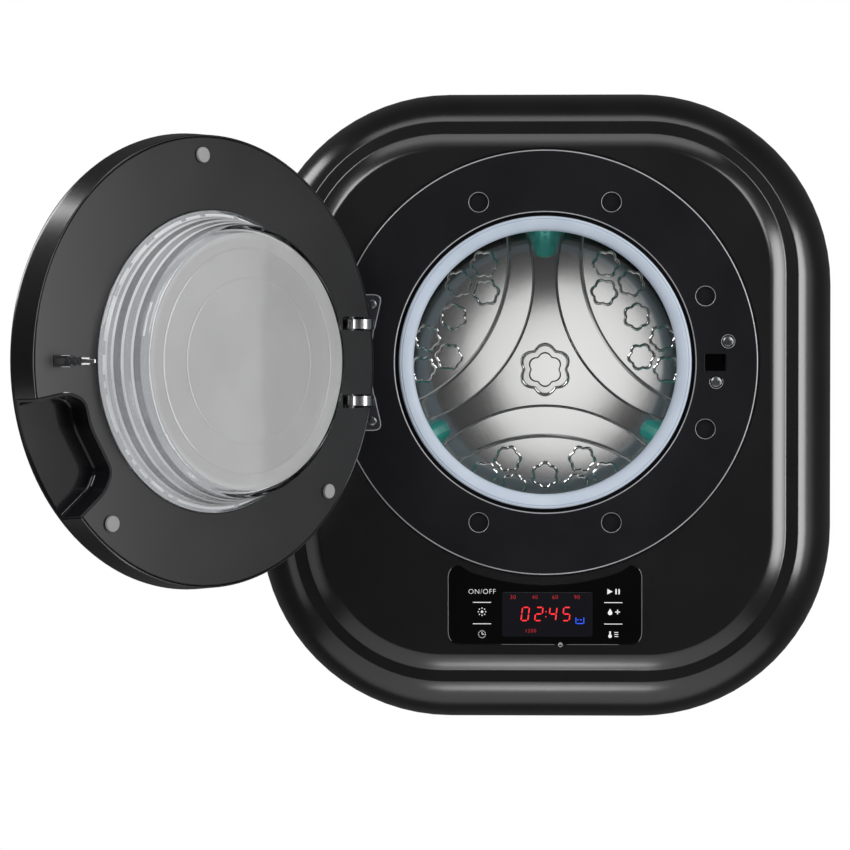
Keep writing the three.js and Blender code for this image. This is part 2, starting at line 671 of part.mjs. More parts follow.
function addTub(group) {
  const wall = 3.5;
  const inner = TUB_R - wall;
  const rearShell = turned(
    [
      [0, TUB_BACK_Y],
      [TUB_R - 8, TUB_BACK_Y],
      [TUB_R, TUB_BACK_Y - 8],
      [TUB_R, TUB_SPLIT_Y + 6],
      [TUB_R + 6, TUB_SPLIT_Y + 6],
      [TUB_R + 6, TUB_SPLIT_Y + GAP],
      [inner, TUB_SPLIT_Y + GAP],
      [inner, TUB_BACK_Y - 4],
      [0, TUB_BACK_Y - 4],
    ],
    { z: DRUM_Z, facets: MEDIUM },
  );
  const ribs = Array.from({ length: 3 }, (_, i) => {
    const rib = new THREE.BoxGeometry(TUB_R - 50, 7, 4).translate(TUB_R / 2 + 5, TUB_BACK_Y + 3.2, 0);
    return solidOf(rib.rotateY(radians(90 + 120 * i)).translate(0, 0, DRUM_Z));
  });
  const posts = [45, 135, 225, 315].map((a) =>
    rodY(8, -2.8, TUB_BACK_Y - 1, 165 * Math.cos(radians(a)), DRUM_Z + 165 * Math.sin(radians(a)), TINY),
  );
  const rear = without(
    joined([rearShell, ...ribs, ...posts, rodY(HUB.outer, HUB.back, HUB.front, 0, DRUM_Z, MEDIUM)]),
    [
      rodY(14.2, HUB.back + 1, HUB.front - 1, 0, DRUM_Z, MEDIUM),
      ...Object.values(BEARINGS).map(({ outer, pocket: [from, to] }) =>
        rodY(outer + GAP, from, to, 0, DRUM_Z, MEDIUM),
      ),
      ...[-1, 1].map((side) => rodY(4.4, TUB_BACK_Y + 9, -60, ...heaterSpot(side * 9), SMALL)),
    ],
  );
  addPiece(group, "tub_rear", rear, "tub_white");

  const neckInner = NECK_R - wall;
  const frontShell = turned(
    [
      [100, TUB_FRONT_Y + wall],
      [inner - 5, TUB_FRONT_Y + wall],
      [inner, TUB_FRONT_Y + 9],
      [inner, TUB_SPLIT_Y],
      [TUB_R + 6, TUB_SPLIT_Y],
      [TUB_R + 6, TUB_SPLIT_Y - 5],
      [TUB_R, TUB_SPLIT_Y - 7],
      [TUB_R, TUB_FRONT_Y + 8],
      [TUB_R - 8, TUB_FRONT_Y],
      [100, TUB_FRONT_Y],
    ],
    { z: DRUM_Z, facets: MEDIUM },
  );
  const neck = turned(
    [
      [neckInner - 1, TUB_FRONT_Y + wall],
      [NECK_R, TUB_FRONT_Y + wall],
      [NECK_R, NECK_Y],
      [neckInner - 1, NECK_Y],
    ],
    { z: DOOR_Z },
  );
  const front = frontShell
    .add(neck)
    .subtract(rodY(neckInner, TUB_FRONT_Y + 20, NECK_Y - 1, 0, DOOR_Z, LARGE));
  addPiece(group, "tub_front", front, "tub_white");

  for (const [place, { inner: bore, outer, back, front: face }] of Object.entries(BEARINGS)) {
    const ring = turned(
      [
        [bore, back],
        [outer, back],
        [outer, face],
        [bore, face],
      ],
      { z: DRUM_Z, facets: MEDIUM },
    );
    addPiece(group, place + "_bearing", ring, "steel");
  }
  const seal = turned(
    [
      [12.6, -51],
      [25.6, -51],
      [25.6, -54.6],
      [12.6, -54.6],
    ],
    { z: DRUM_Z, facets: MEDIUM },
  );
  addPiece(group, "shaft_seal", seal, "rubber_black");

  const path = [
    [-9, TUB_BACK_Y + 7],
    [-9, -100],
    [-9, HEATER.front + 16],
    [-6.4, HEATER.front + 3.6],
    [0, HEATER.front],
    [6.4, HEATER.front + 3.6],
    [9, HEATER.front + 16],
    [9, -100],
    [9, TUB_BACK_Y + 7],
  ].map(([degrees, y]) => {
    const [x, z] = heaterSpot(degrees);
    return [x, y, z];
  });
  const rod = hose(path, HEATER.radius, 18, 5);
  addPiece(group, "heater", rod, "steel");
}

/** Everything that turns with the drum. */
function addDrum(group) {
  const skin = 1.6;
  const shell = turned(
    [
      [DRUM_R - skin, DRUM_BACK_Y + 2],
      [DRUM_R, DRUM_BACK_Y + 2],
      [DRUM_R, DRUM_LIP_Y + 6],
      [DRUM_R - skin, DRUM_LIP_Y + 6],
    ],
    { z: DRUM_Z },
  );
  addPiece(group, "drum_shell", shell, "stainless");

  const mouth = turned(
    [
      [DRUM_R, DRUM_LIP_Y + 5.7],
      [DRUM_R - 4, DRUM_LIP_Y],
      [DRUM_MOUTH_R + 2.6, DRUM_LIP_Y],
      [DRUM_MOUTH_R, DRUM_LIP_Y + 4],
      [DRUM_MOUTH_R + 3.4, DRUM_LIP_Y + 2],
      [DRUM_R - 6, DRUM_LIP_Y + 2],
      [DRUM_R - 3.2, DRUM_LIP_Y + 5.7],
    ],
    { z: DRUM_Z },
  );
  addPiece(group, "drum_front_ring", mouth, "stainless");
  addDrumBack(group);
  [90, 210, 330].forEach((angle, i) => addLifter(group, angle, i + 1));

  const hubFront = DRUM_BACK_Y + GAP;
  const arm = roundedPolygon([
    [-20, 20, 2],
    [-12, 158, 5],
    [12, 158, 5],
    [20, 20, 2],
  ]);
  const arms = [30, 150, 270].map((a) =>
    slab(arm, -57, hubFront, 3)
      .rotate([0, -a + 90, 0])
      .translate([0, 0, DRUM_Z]),
  );
  const spider = without(
    joined([
      rodY(34, -57, hubFront, 0, DRUM_Z, MEDIUM),
      ...arms,
      ...[30, 150, 270].map((a) =>
        rodY(15, -54, hubFront, 148 * Math.cos(radians(a)), DRUM_Z + 148 * Math.sin(radians(a)), TINY),
      ),
    ]),
    [rodY(SHAFT.frontR + GAP, -50, -70, 0, DRUM_Z, MEDIUM)],
  );
  addPiece(group, "drum_spider", spider, "aluminium");

  const shaft = turned(
    [
      [0, -5],
      [7.6, -5],
      [7.6, -19],
      [SHAFT.rearR, -19.4],
      [SHAFT.rearR, SHAFT.step],
      [SHAFT.frontR, SHAFT.step - 0.4],
      [SHAFT.frontR, hubFront + 0.1],
      [0, hubFront + 0.1],
    ],
    { z: DRUM_Z, facets: MEDIUM },
  );
  addPiece(group, "drum_shaft", shaft, "steel");

  const { back, front } = BELT_Y;
  const flange = PULLEY_R + 1.6;
  const wheel = turned(
    [
      [7.9, back + 0.5],
      [flange, back + 0.5],
      [PULLEY_R, back - 0.6],
      [PULLEY_R, front + 0.6],
      [flange, front - 0.5],
      [flange - 6, front + 3],
      [18, front + 3],
      [18, front - 1.8],
      [7.9, front - 1.8],
    ],
    { z: DRUM_Z, facets: MEDIUM },
  );
  const windows = Array.from({ length: 4 }, (_, i) => {
    const a = radians(90 * i + 45);
    return rodY(23, 0, -25, 55 * Math.cos(a), DRUM_Z + 55 * Math.sin(a), SMALL);
  });
  addPiece(group, "drum_pulley", without(wheel, windows), "aluminium");
}

/** The embossed back plate of the drum. */
function addDrumBack(group) {
  const plateR = DRUM_R - 2.2;
  const level = { back: DRUM_BACK_Y, floor: -68, pad: -69, ridge: -70.6, star: -72 };
  const disc = (shrink, front) => rodY(plateR - shrink, level.back, front, 0, DRUM_Z, LARGE);
  const circleAt = (axis, { reach, radius }, grow, front) =>
    rodY(
      radius + grow,
      level.back + 1,
      front - 1,
      reach * Math.cos(radians(axis)),
      DRUM_Z + reach * Math.sin(radians(axis)),
      LARGE,
    );
  const star = without(
    disc(0.6, level.star),
    PAD_AXES.map((axis) => circleAt(axis, STAR_CUT, 0, level.star)),
  );
  const pads = PAD_AXES.flatMap((axis) => {
    const pad = circleAt(axis, PAD_EDGE, -1.6, level.pad);
    const ridge = circleAt(axis, PAD_EDGE, 1.6, level.ridge).subtract(
      circleAt(axis, PAD_EDGE, -1.6, level.ridge - 2),
    );
    return [disc(1.2, level.pad).intersect(pad), disc(1.8, level.ridge).intersect(ridge)];
  });
  const flowers = PAD_AXES.flatMap((axis) =>
    ROSETTES.map(([reach, turn]) => {
      const a = radians(axis + turn);
      const outline = rosette(reach * Math.cos(a), DRUM_Z + reach * Math.sin(a), ROSETTE_R, a);
      return slab(outline, level.back - 0.5, level.ridge);
    }),
  );
  const boss = [
    slab(rosette(0, DRUM_Z, 25.7, Math.PI / 2, 12), level.back - 0.5, level.star - 1.6),
    slab(rosette(0, DRUM_Z, 17, Math.PI / 2, 12), level.back - 0.5, level.star - 2.8),
  ];
  const plate = joined([disc(0, level.floor), star, ...pads, ...flowers, ...boss]);
  addPiece(group, "drum_back", plate, "stainless");
}

/** One lifter: a tapering ridge on the drum wall, lower towards the mouth. */
function addLifter(group, angle, number) {
  const base = DRUM_R - 6.6;
  const section = (crest, halfBase, halfCrest) => [
    [halfBase, base],
    [-halfBase, base],
    [-halfBase, base - 4],
    [-halfCrest - 3, crest + 9],
    [-halfCrest, crest + 2],
    [-halfCrest * 0.45, crest],
    [halfCrest * 0.45, crest],
    [halfCrest, crest + 2],
    [halfCrest + 3, crest + 9],
    [halfBase, base - 4],
  ];
  const ridge = lofted([
    [section(LIFTER_CREST.back, 26, 9), -72.6],
    [section(LIFTER_CREST.back + 3, 26, 8.5), -100],
    [section(LIFTER_CREST.front - 8, 24, 8), -180],
    [section(LIFTER_CREST.front, 22, 7), -200],
  ]);
  const placed = ridge.rotate([0, 90 - angle, 0]).translate([0, 0, DRUM_Z]);
  addPiece(group, "lifter_" + number, placed, "lifter_teal");
}

// ---------------------------------------------------------------- drive and water parts

/** A belt line round both pulleys, as a closed ring of points. */
function beltLine(offset) {
  const reach = Math.hypot(MOTOR.x, MOTOR.z - DRUM_Z);
  const heading = Math.atan2(MOTOR.z - DRUM_Z, MOTOR.x);
  const spread = Math.acos((PULLEY_R - MOTOR_PULLEY_R) / reach);
  const arc = (cx, cz, radius, from, to, steps) =>
    Array.from({ length: steps + 1 }, (_, i) => {
      const a = from + ((to - from) * i) / steps;
      return new THREE.Vector2(cx + radius * Math.cos(a), cz + radius * Math.sin(a));
    });
  return [
    ...arc(0, DRUM_Z, PULLEY_R + offset, heading + spread, heading + 2 * Math.PI - spread, 18),
    ...arc(MOTOR.x, MOTOR.z, MOTOR_PULLEY_R + offset, heading - spread, heading + spread, 6),
  ];
}

function addDrive(group) {
  const belt = new THREE.Shape(beltLine(3.6));
  belt.holes.push(new THREE.Path(beltLine(0.9)));
  addPiece(group, "drive_belt", slab(belt, BELT_Y.back - 0.9, BELT_Y.front + 0.9), "rubber_black");

  const { x, z, radius } = MOTOR;
  const stator = turned(
    [
      [6.5, -25],
      [26, -25],
      [radius - 3, -30],
      [radius, -34],
      [radius, -92],
      [radius - 4, -98],
      [6.5, -102],
    ],
    { x, z, facets: MEDIUM },
  );
  addPiece(group, "motor_housing", stator, "steel");

  const bracketPlate = slab(
    roundedPolygon([
      [x - 58, z - 52, 14],
      [x + 58, z - 52, 14],
      [x + 58, z + 46, 14],
      [x - 58, z + 46, 14],
    ]),
    -20.6,
    -24.4,
    4,
  );
  const legs = [-1, 1].flatMap((i) =>
    [-44, 6].map((dz) => rodY(6, -2.8, -22, x + 48 * i, z + dz, TINY)),
  );
  const bracket = joined([bracketPlate, ...legs]).subtract(rodY(18, -10, -30, x, z));
  addPiece(group, "motor_bracket", bracket, "galvanised");
}

function addRotor(group) {
  const { back, front } = BELT_Y;
  const rotor = turned(
    [
      [0, back + 0.5],
      [MOTOR_PULLEY_R + 1.4, back + 0.5],
      [MOTOR_PULLEY_R, back - 0.6],
      [MOTOR_PULLEY_R, front + 0.6],
      [MOTOR_PULLEY_R + 1.4, front - 0.5],
      [5.6, front - 0.8],
      [5.6, -100],
      [0, -100],
    ],
    { x: MOTOR.x, z: MOTOR.z, facets: SMALL },
  );
  addPiece(group, "motor_rotor", rotor, "steel");
}

function addWaterParts(group) {
  const tubClear = rodY(TUB_R + 0.6, 0, -300, 0, DRUM_Z, MEDIUM);
  const rimClear = rodY(TUB_R + 6.8, TUB_SPLIT_Y + 9, TUB_SPLIT_Y - 8, 0, DRUM_Z, MEDIUM);

  const pump = { x: DRAIN.x, z: -232, radius: 33 };
  const pumpBody = joined([
    turned(
      [
        [0, -62],
        [pump.radius - 8, -62],
        [pump.radius - 8, -100],
        [pump.radius, -102],
        [pump.radius, -128],
        [pump.radius - 6, -134],
        [0, -134],
      ],
      { x: pump.x, z: pump.z, facets: MEDIUM },
    ),
    block([pump.x - 24, -66, pump.z - 38], [pump.x + 24, -60, pump.z + 20]),
    block([pump.x - 24, -64, pump.z - 44], [pump.x + 24, -2.8, pump.z - 36]),
    rodZ(12, pump.z + 20, -189.6, pump.x, -115, SMALL),
  ]);
  addPiece(group, "drain_pump", pumpBody, "housing_grey");

  const sump = hose(
    [
      [60, -115, -120],
      [62, -115, -146],
      [76, -115, -164],
      [96, -115, -170],
      [pump.x, -115, -179],
      [pump.x, -115, -189],
    ],
    13,
    8,
    10,
  ).subtract(tubClear);
  addPiece(group, "sump_hose", sump, "rubber_black");

  const outlet = joined([
    rodZ(9, -300, pump.z - 26.2, DRAIN.x, DRAIN.y, SMALL),
    rodZ(14, -290.4, -286, DRAIN.x, DRAIN.y, SMALL),
  ]).subtract(rodZ(6, -301, -288, DRAIN.x, DRAIN.y, SMALL));
  addPiece(group, "drain_spigot", outlet, "housing_grey");

  const valve = joined([
    block([INLET.x - 17, INLET.y - 20, -262], [INLET.x + 17, INLET.y + 20, -218]),
    rodZ(13, -299.7, -260, INLET.x, INLET.y, SMALL),
    rodZ(15.4, -276, -262, INLET.x, INLET.y, 6),
    rodZ(8, -220, -206, INLET.x - 5, INLET.y, TINY),
    block([INLET.x - 10, INLET.y + 18, -258], [INLET.x + 10, -2.8, -232]),
  ]).subtract(rodZ(9, -301, -270, INLET.x, INLET.y, SMALL));
  addPiece(group, "inlet_valve", valve, "tub_white");

  const riser = hose(
    [
      [INLET.x - 5, INLET.y, -205.2],
      [INLET.x - 5, INLET.y, -192],
      [-178, INLET.y, -150],
      [-212, INLET.y, -60],
      [-214, INLET.y, 60],
      [-185, INLET.y, 160],
      [-130, INLET.y, 232],
      [-90, INLET.y, 262],
      [-TRAY.halfW - 0.8, INLET.y, 262],
    ],
    7,
    14,
    6,
  );
  addPiece(group, "inlet_hose", riser, "rubber_grey");

  const fill = hose(
    [
      [40, -80, TRAY.bottom - 0.5],
      [40, -80, 228],
      [44, -80, 214],
      [46, -80, 200],
    ],
    11,
    3,
    10,
  ).subtract(joined([tubClear, rimClear]));
  addPiece(group, "fill_hose", fill, "rubber_black");

  const driver = joined([
    block([142, -92, -190], [226, -52, -122]),
    block([150, -54, -182], [160, -2.8, -172]),
    block([208, -54, -140], [218, -2.8, -130]),
  ]);
  addPiece(group, "power_board", driver, "housing_grey");

  const gland = joined([
    rodZ(9, -299, -286, 20, -60),
    rodZ(13, -293.7, -288, 20, -60),
  ]).subtract(rodZ(4.4, -301, -284, 20, -60, TINY));
  addPiece(group, "cable_gland", gland, "rubber_black");
}

/** The detergent tray in the top of the cabinet: two cups, open upwards. */
function addTray(group) {
  const { halfW, back, front, bottom, top } = TRAY;
  const cup = (x0, x1) => block([x0, front + 2, bottom + 2.5], [x1, back - 2 - 2.4, top + 1]);
  const outer = joined([
    block([-halfW, front, bottom], [halfW, back - 2.4, top]),
    block([-halfW - 5, front - 5, top - 3], [halfW + 5, back + 2.4, top]),
  ]);
  const tray = without(outer, [
    cup(-halfW + 2, -2),
    cup(2, halfW - 2),
    block([-halfW + 0.5, back - 2.3, top - 6], [halfW - 0.5, back + 3, top + 1]),
  ]);
  addPiece(group, "detergent_tray", tray, "tub_white");
}

/** The tray's lid, hung at its back edge. */
function addLid(group) {
  const { halfW, front } = TRAY;
  const edge = LID_AXIS.y + 1.5;
  const plate = block([-halfW - 2, front - 2, LID_TOP - 3], [halfW + 2, edge - 1.5, LID_TOP]);
  const back = rodZ(1.5, -halfW - 2, halfW + 2, 0, 0, 12)
    .rotate([0, 90, 0])
    .translate([0, LID_AXIS.y, LID_AXIS.z]);
  const grip = new THREE.CylinderGeometry(16, 16, 4, 24).rotateX(Math.PI / 2);
  const scoop = solidOf(grip.translate(0, front - 11, LID_TOP));
  addPiece(group, "detergent_lid", plate.add(back).subtract(scoop), "housing_grey");
}

// ---------------------------------------------------------------- door

/** Corners of a counterclockwise outline, each edge moved inwards by the same amount. */
function insetCorners(corners, by) {
  const heading = ([ax, az], [bx, bz]) => {
    const length = Math.hypot(bx - ax, bz - az);
    return [(bx - ax) / length, (bz - az) / length];
  };
  return corners.map((corner, i) => {
    const [x, z, radius] = corner;
    const [ux, uz] = heading(corners.at(i - 1), corner);
    const [vx, vz] = heading(corner, corners[(i + 1) % corners.length]);
    const share = by / (1 + ux * vx + uz * vz);
    return [x - (uz + vz) * share, z + (ux + vx) * share, Math.max(radius - by, 0)];
  });
}

/** The finger recess in the door's free side, narrower by an even amount all round. */
function scoopOutline(shrink) {
  const corners = [
    [215, -34, 0],
    [158, -24, 6],
    [140.5, -30, 9],
    [135, -52, 8],
    [113, -89, 9],
    [121, -106, 8],
    [152, -130, 0],
    [190, -162, 0],
  ];
  return roundedPolygon(insetCorners(corners, shrink));
}

const SCOOP_FLOOR = -RIM_DEPTH + 2.6;

/** The slots through which the two hinge arms reach the pin, open to the hinge edge. */
function armSlots(margin) {
  const half = ARM_H / 2 + 1.6 + margin;
  return [1, -1].map((up) =>
    block(
      [-RIM_R - 4, -PIN_DEPTH - 5.8 - margin, up * ARM_Z - half],
      [-151 + margin, 2, up * ARM_Z + half],
    ),
  );
}

function addDoor(group) {
  const panelBlank = turned(
    [
      [PANEL_BORE_R, -3.2],
      [DOOR_R - 2.2, -3.2],
      [DOOR_R - 1.8, -0.8],
      [DOOR_R - 2.4, 0],
      [PANEL_BORE_R + 0.6, 0],
      [PANEL_BORE_R, -0.6],
    ],
  );
  const innerPanel = without(panelBlank, [
    slab(scoopOutline(-GAP), 2, -6, 3),
    ...armSlots(0),
    block([153.6, -5, -4.6], [172.6, 2, 4.6]),
  ]);
  addPiece(group, "door_inner_panel", innerPanel, "door_grey");

  const rim = turned([
    [DOOR_R - 1.5, -0.3],
    [DOOR_R, -0.5],
    [RIM_R, -RIM_DEPTH + 1],
    [RIM_R - 1.2, -27],
    [RIM_R - 6, -28.8],
    [WINDOW_R + 1.6, -30.9],
    [WINDOW_R + GAP, -28.4],
    [143, -28.4],
    [RIM_R - 8, -25],
    [RIM_R - 3.6, -21],
    [DOOR_R - 1.5, -3.5],
  ]);
  const knuckles = [56, 0, -56].map((z) => {
    const long = z === 0 ? 26 : 10;
    const pillar = block(
      [PIN_X - 6, -PIN_DEPTH - 9, z - long],
      [PIN_X + 6, -PIN_DEPTH + 6, z + long],
    );
    return pillar;
  });
  const bore = rodZ(3.1, -60, 60, PIN_X, -PIN_DEPTH, SMALL);
  const cover = without(joined([rim, ...knuckles]), [
    slab(scoopOutline(-GAP), 2, SCOOP_FLOOR - GAP, 3),
    ...armSlots(0),
    bore,
  ]);
  addPiece(group, "door_outer_cover", cover, "gloss_black");
  addPiece(group, "hinge_pin", rodZ(2.8, -59, 59, PIN_X, -PIN_DEPTH, SMALL), "steel");

  const window = turned([
    [0, -DOME_DEPTH],
    [WINDOW_R - 1, -30.8],
    [WINDOW_R, -30],
    [WINDOW_R, -28.7],
    [0, -28.7],
  ]);
  addPiece(group, "door_window", window, "smoked_glass");
  addBowl(group);
  addScoop(group);
  [84, -48.5, -138.4].forEach((angle, i) => {
    const pad = turned(
      [
        [0, 0.3],
        [6.6, 0.3],
        [6.6, 2.7],
        [5.9, 3.4],
        [0, 3.4],
      ],
      { x: 175 * Math.cos(radians(angle)), z: 175 * Math.sin(radians(angle)), facets: TINY },
    );
    addPiece(group, "door_pad_" + (i + 1), pad, "rubber_grey");
  });
}

/** The glass bowl: a flange behind the inner panel, a stepped wall and a flat end. */
function addBowl(group) {
  const bowl = turned([
    [134, -6.4],
    [134, -3.5],
    [128.4, -3.5],
    [128.4, 1.2],
    [123.2, 2.6],
    [119.4, 20],
    [115, 35.5],
    [111, 40.5],
    [107, 39.8],
    [0, 39.8],
    [0, 35.8],
    [109, 35.6],
    [119.4, -1],
    [126, -6.4],
  ]);
  addPiece(group, "door_bowl", bowl, "clear_glass");
  const clamp = turned([
    [127, -6.7],
    [141, -6.7],
    [141, -9],
    [127, -9],
  ]);
  addPiece(group, "bowl_clamp", clamp, "galvanised");
}

/** The finger cup: an open tray let into the free side of the door. */
function addScoop(group) {
  const skin = 2.2;
  const within = turned([
    [0, SCOOP_FLOOR],
    [RIM_R - 0.4, SCOOP_FLOOR],
    [DOOR_R - 0.2, 0.8],
    [0, 0.8],
  ]);
  const outer = slab(scoopOutline(GAP), 0.8, SCOOP_FLOOR, 3);
  const hollow = slab(scoopOutline(GAP + skin), 2, SCOOP_FLOOR + skin, 3);
  addPiece(group, "handle_cup", outer.intersect(within).subtract(hollow), "ring_black");
}

const LATCH = { u: 159.3, pivotU: 166, pivotN: -10 };

function addLatchBase(group) {
  const frame = block([153.9, -16, -4.3], [172.3, 0.7, 4.3]);
  const base = without(frame, [
    block([155.1, -14.4, -3.2], [171.1, 4, 3.2]),
    rodZ(1.7, -6, 6, LATCH.pivotU, LATCH.pivotN, TINY),
  ]);
  addPiece(group, "latch_base", base, "rubber_black");
}

/** The sprung hook that snaps into the lock. */
function addLatchHook(group) {
  const hookOutline = roundedPolygon([
    [LATCH.pivotU - 4.6, LATCH.pivotN - 3.6, 0],
    [LATCH.pivotU + 3.6, LATCH.pivotN - 3.6, 0],
    [LATCH.pivotU + 3.6, LATCH.pivotN + 5, 0],
    [162.9, 1, 0],
    [162.6, 22, 0],
    [164.8, 24.4, 0],
    [163.6, 28, 0],
    [160.4, 35, 0],
    [158.2, 35, 0],
    [156.2, 22, 0],
  ]);
  const blade = column(hookOutline, -2.8, 2.8, 3);
  const knob = rodY(3.7, 21, 1.6, 159.6, 0);
  const trimmed = blade.subtract(
    joined([block([150, 25, 1.5], [170, 40, 6]), block([150, 25, -6], [170, 40, -1.5])]),
  );
  const axle = rodZ(1.3, -4.1, 4.1, LATCH.pivotU, LATCH.pivotN, TINY);
  addPiece(group, "latch_hook", joined([trimmed, knob, axle]), "chrome");
}

// ---------------------------------------------------------------- assembly

const machine = new THREE.Group();
[addCabinet, addControls, addDoorSeat, addTub, addDrum, addDrive, addRotor].forEach((add) =>
  add(machine),
);
[addWaterParts, addTray, addLid].forEach((add) => add(machine));

// The door hangs on the pin; inside it, a frame stands on the door's own centre.
const doorSwing = new THREE.Group();
doorSwing.position.set(PIN_X, PIN_Y, DOOR_Z);
doorSwing.rotation.z = -OPEN_ANGLE;
const doorFrame = new THREE.Group();
doorFrame.position.set(-PIN_X, PIN_DEPTH, 0);
doorSwing.add(doorFrame);
machine.add(doorSwing);
[addDoor, addLatchBase, addLatchHook].forEach((add) => add(doorFrame));

export default machine;
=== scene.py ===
"""A slim wall-mounted washing machine with its round door open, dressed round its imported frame.

The row frame holds for everything: X to the right, Z up, the front faces -Y, the wall is y = 0.
Sizes are written in millimetres and turned into metres where a piece is made; NEAR, the lamps
and the floor are in metres. Angles are in degrees where nothing else is said.
"""

import sys

import json
import logging
import math
from dataclasses import astuple, dataclass
from enum import Enum
from typing import Callable, Sequence

import bmesh
import bpy
from mathutils import Matrix, Vector


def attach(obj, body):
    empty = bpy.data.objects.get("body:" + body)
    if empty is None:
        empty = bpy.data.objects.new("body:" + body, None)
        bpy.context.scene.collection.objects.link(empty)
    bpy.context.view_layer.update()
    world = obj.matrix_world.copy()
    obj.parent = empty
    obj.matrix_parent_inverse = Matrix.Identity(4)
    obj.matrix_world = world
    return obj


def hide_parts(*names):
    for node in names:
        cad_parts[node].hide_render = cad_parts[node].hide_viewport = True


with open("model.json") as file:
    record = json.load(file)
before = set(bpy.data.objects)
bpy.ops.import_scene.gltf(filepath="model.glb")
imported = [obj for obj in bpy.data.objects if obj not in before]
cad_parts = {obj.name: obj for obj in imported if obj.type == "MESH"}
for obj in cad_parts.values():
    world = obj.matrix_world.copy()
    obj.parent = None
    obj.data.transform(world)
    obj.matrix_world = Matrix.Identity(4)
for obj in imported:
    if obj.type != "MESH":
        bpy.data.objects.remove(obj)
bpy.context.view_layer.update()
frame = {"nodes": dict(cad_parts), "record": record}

log = logging.getLogger("washer")

MM = 0.001
NEAR = 2e-6
DOOR_Z = 41.5
DRUM_Z = 35.0
PIN = (-179.3, -277.0)
PIN_DEPTH = 17.0
OPEN_DEGREES = 128.6
ARM_RISE = 35.5
ARM_HALF = 4.65
# Places as (x, z); the screws and the wells are measured from the door's axis.
WALL_BOLTS = [(-190, 215), (-190, -215), (190, 215), (190, -215)]
LOCK_SCREWS = {"upper": (170.9, 19.7), "lower": (159.8, -18.0)}
HINGE_SCREWS = {"upper": (-161.7, 54.7), "lower": (-161.7, -54.7)}
WELL_ANGLES = (22.5, 67.5, 112.5, -22.5, -67.5, -112.5)
PAD_AXES = (30, 150, 270)
LIFTER_ANGLES = (90, 210, 330)

Point = tuple[float, float]
Place = tuple[float, float, float]
Thing = bpy.types.Object


class Carried(Enum):
    """The axis that an outline is carried along; it is drawn in the other two, in their order."""

    ALONG_X = 0
    ALONG_Y = 1
    ALONG_Z = 2

    def at(self, a: float, b: float, depth: float) -> Place:
        """The place of an outline's point.

        Args:
            a: First coordinate of the outline, in mm.
            b: Second coordinate of the outline, in mm.
            depth: Place along the axis, in mm.

        Returns:
            The point in metres.
        """
        place = [a * MM, b * MM]
        place.insert(self.value, depth * MM)
        return tuple(place)


# ---------------------------------------------------------------- outlines


def polar(radius: float, angle: float, centre: Point = (0, 0)) -> Point:
    """The point at a distance and an angle from a centre."""
    turn = math.radians(angle)
    return (centre[0] + radius * math.cos(turn), centre[1] + radius * math.sin(turn))


def box(x0: float, z0: float, x1: float, z1: float, cut: float = 0) -> list[Point]:
    """A rectangle; with a cut, its corners are rounded from that far away."""
    return rounded([(x0, z0, cut), (x1, z0, cut), (x1, z1, cut), (x0, z1, cut)])


def slab(x: float, z: float, w: float, h: float) -> list[Point]:
    """A rectangle about its middle."""
    return box(x - w / 2, z - h / 2, x + w / 2, z + h / 2)


def arc(cx: float, cy: float, radius: float, start: float, end: float, steps: int) -> list[Point]:
    """Points on a circle from one angle to another, both included.

    Args:
        cx: Centre, first coordinate.
        cy: Centre, second coordinate.
        radius: Radius.
        start: First angle in degrees.
        end: Last angle in degrees.
        steps: Number of chords.

    Returns:
        The points.
    """
    angles = [start + (end - start) * i / steps for i in range(steps + 1)]
    return [polar(radius, angle, (cx, cy)) for angle in angles]


def rounded(corners: Sequence[Sequence[float]], steps: int = 6) -> list[Point]:
    """A polygon whose corners are rounded.

    Args:
        corners: Each corner as (a, b, how far from the corner its curve starts).
        steps: Chords in each corner.

    Returns:
        The outline's points.
    """
    points: list[Point] = []
    for i, (a, b, cut) in enumerate(corners):
        if cut <= 0:
            points.append((a, b))
            continue
        here = Vector((a, b))
        before = Vector(corners[i - 1][:2])
        after = Vector(corners[(i + 1) % len(corners)][:2])
        start = here + (before - here).normalized() * cut
        end = here + (after - here).normalized() * cut
        for k in range(steps + 1):
            t = k / steps
            bend = start * (1 - t) ** 2 + here * 2 * t * (1 - t) + end * t**2
            points.append((bend.x, bend.y))
    return points


def shrunk(corners: Sequence[Sequence[float]], by: float) -> list[tuple[float, float, float]]:
    """Corners of a counterclockwise polygon with each edge moved inwards by the same amount.

    Args:
        corners: Corners as `rounded` takes them.
        by: How far the edges move in.

    Returns:
        The new corners.
    """
    moved = []
    for i, (a, b, cut) in enumerate(corners):
        here = Vector((a, b))
        u = (here - Vector(corners[i - 1][:2])).normalized()
        v = (Vector(corners[(i + 1) % len(corners)][:2]) - here).normalized()
        share = by / (1 + u.dot(v))
        moved.append((a - (u.y + v.y) * share, b + (u.x + v.x) * share, max(cut - by, 0)))
    return moved


def ribbon(path: Sequence[Point], width: float) -> list[Point]:
    """A band of even width along a path, as a closed outline.

    Args:
        path: The middle line.
        width: Width of the band.

    Returns:
        The outline's points.
    """
    left, right = [], []
    for i, (a, b) in enumerate(path):
        way = Vector(path[min(i + 1, len(path) - 1)]) - Vector(path[max(i - 1, 0)])
        side = Vector((-way.y, way.x)).normalized() * width / 2
        left.append((a + side.x, b + side.y))
        right.append((a - side.x, b - side.y))
    return left + right[::-1]


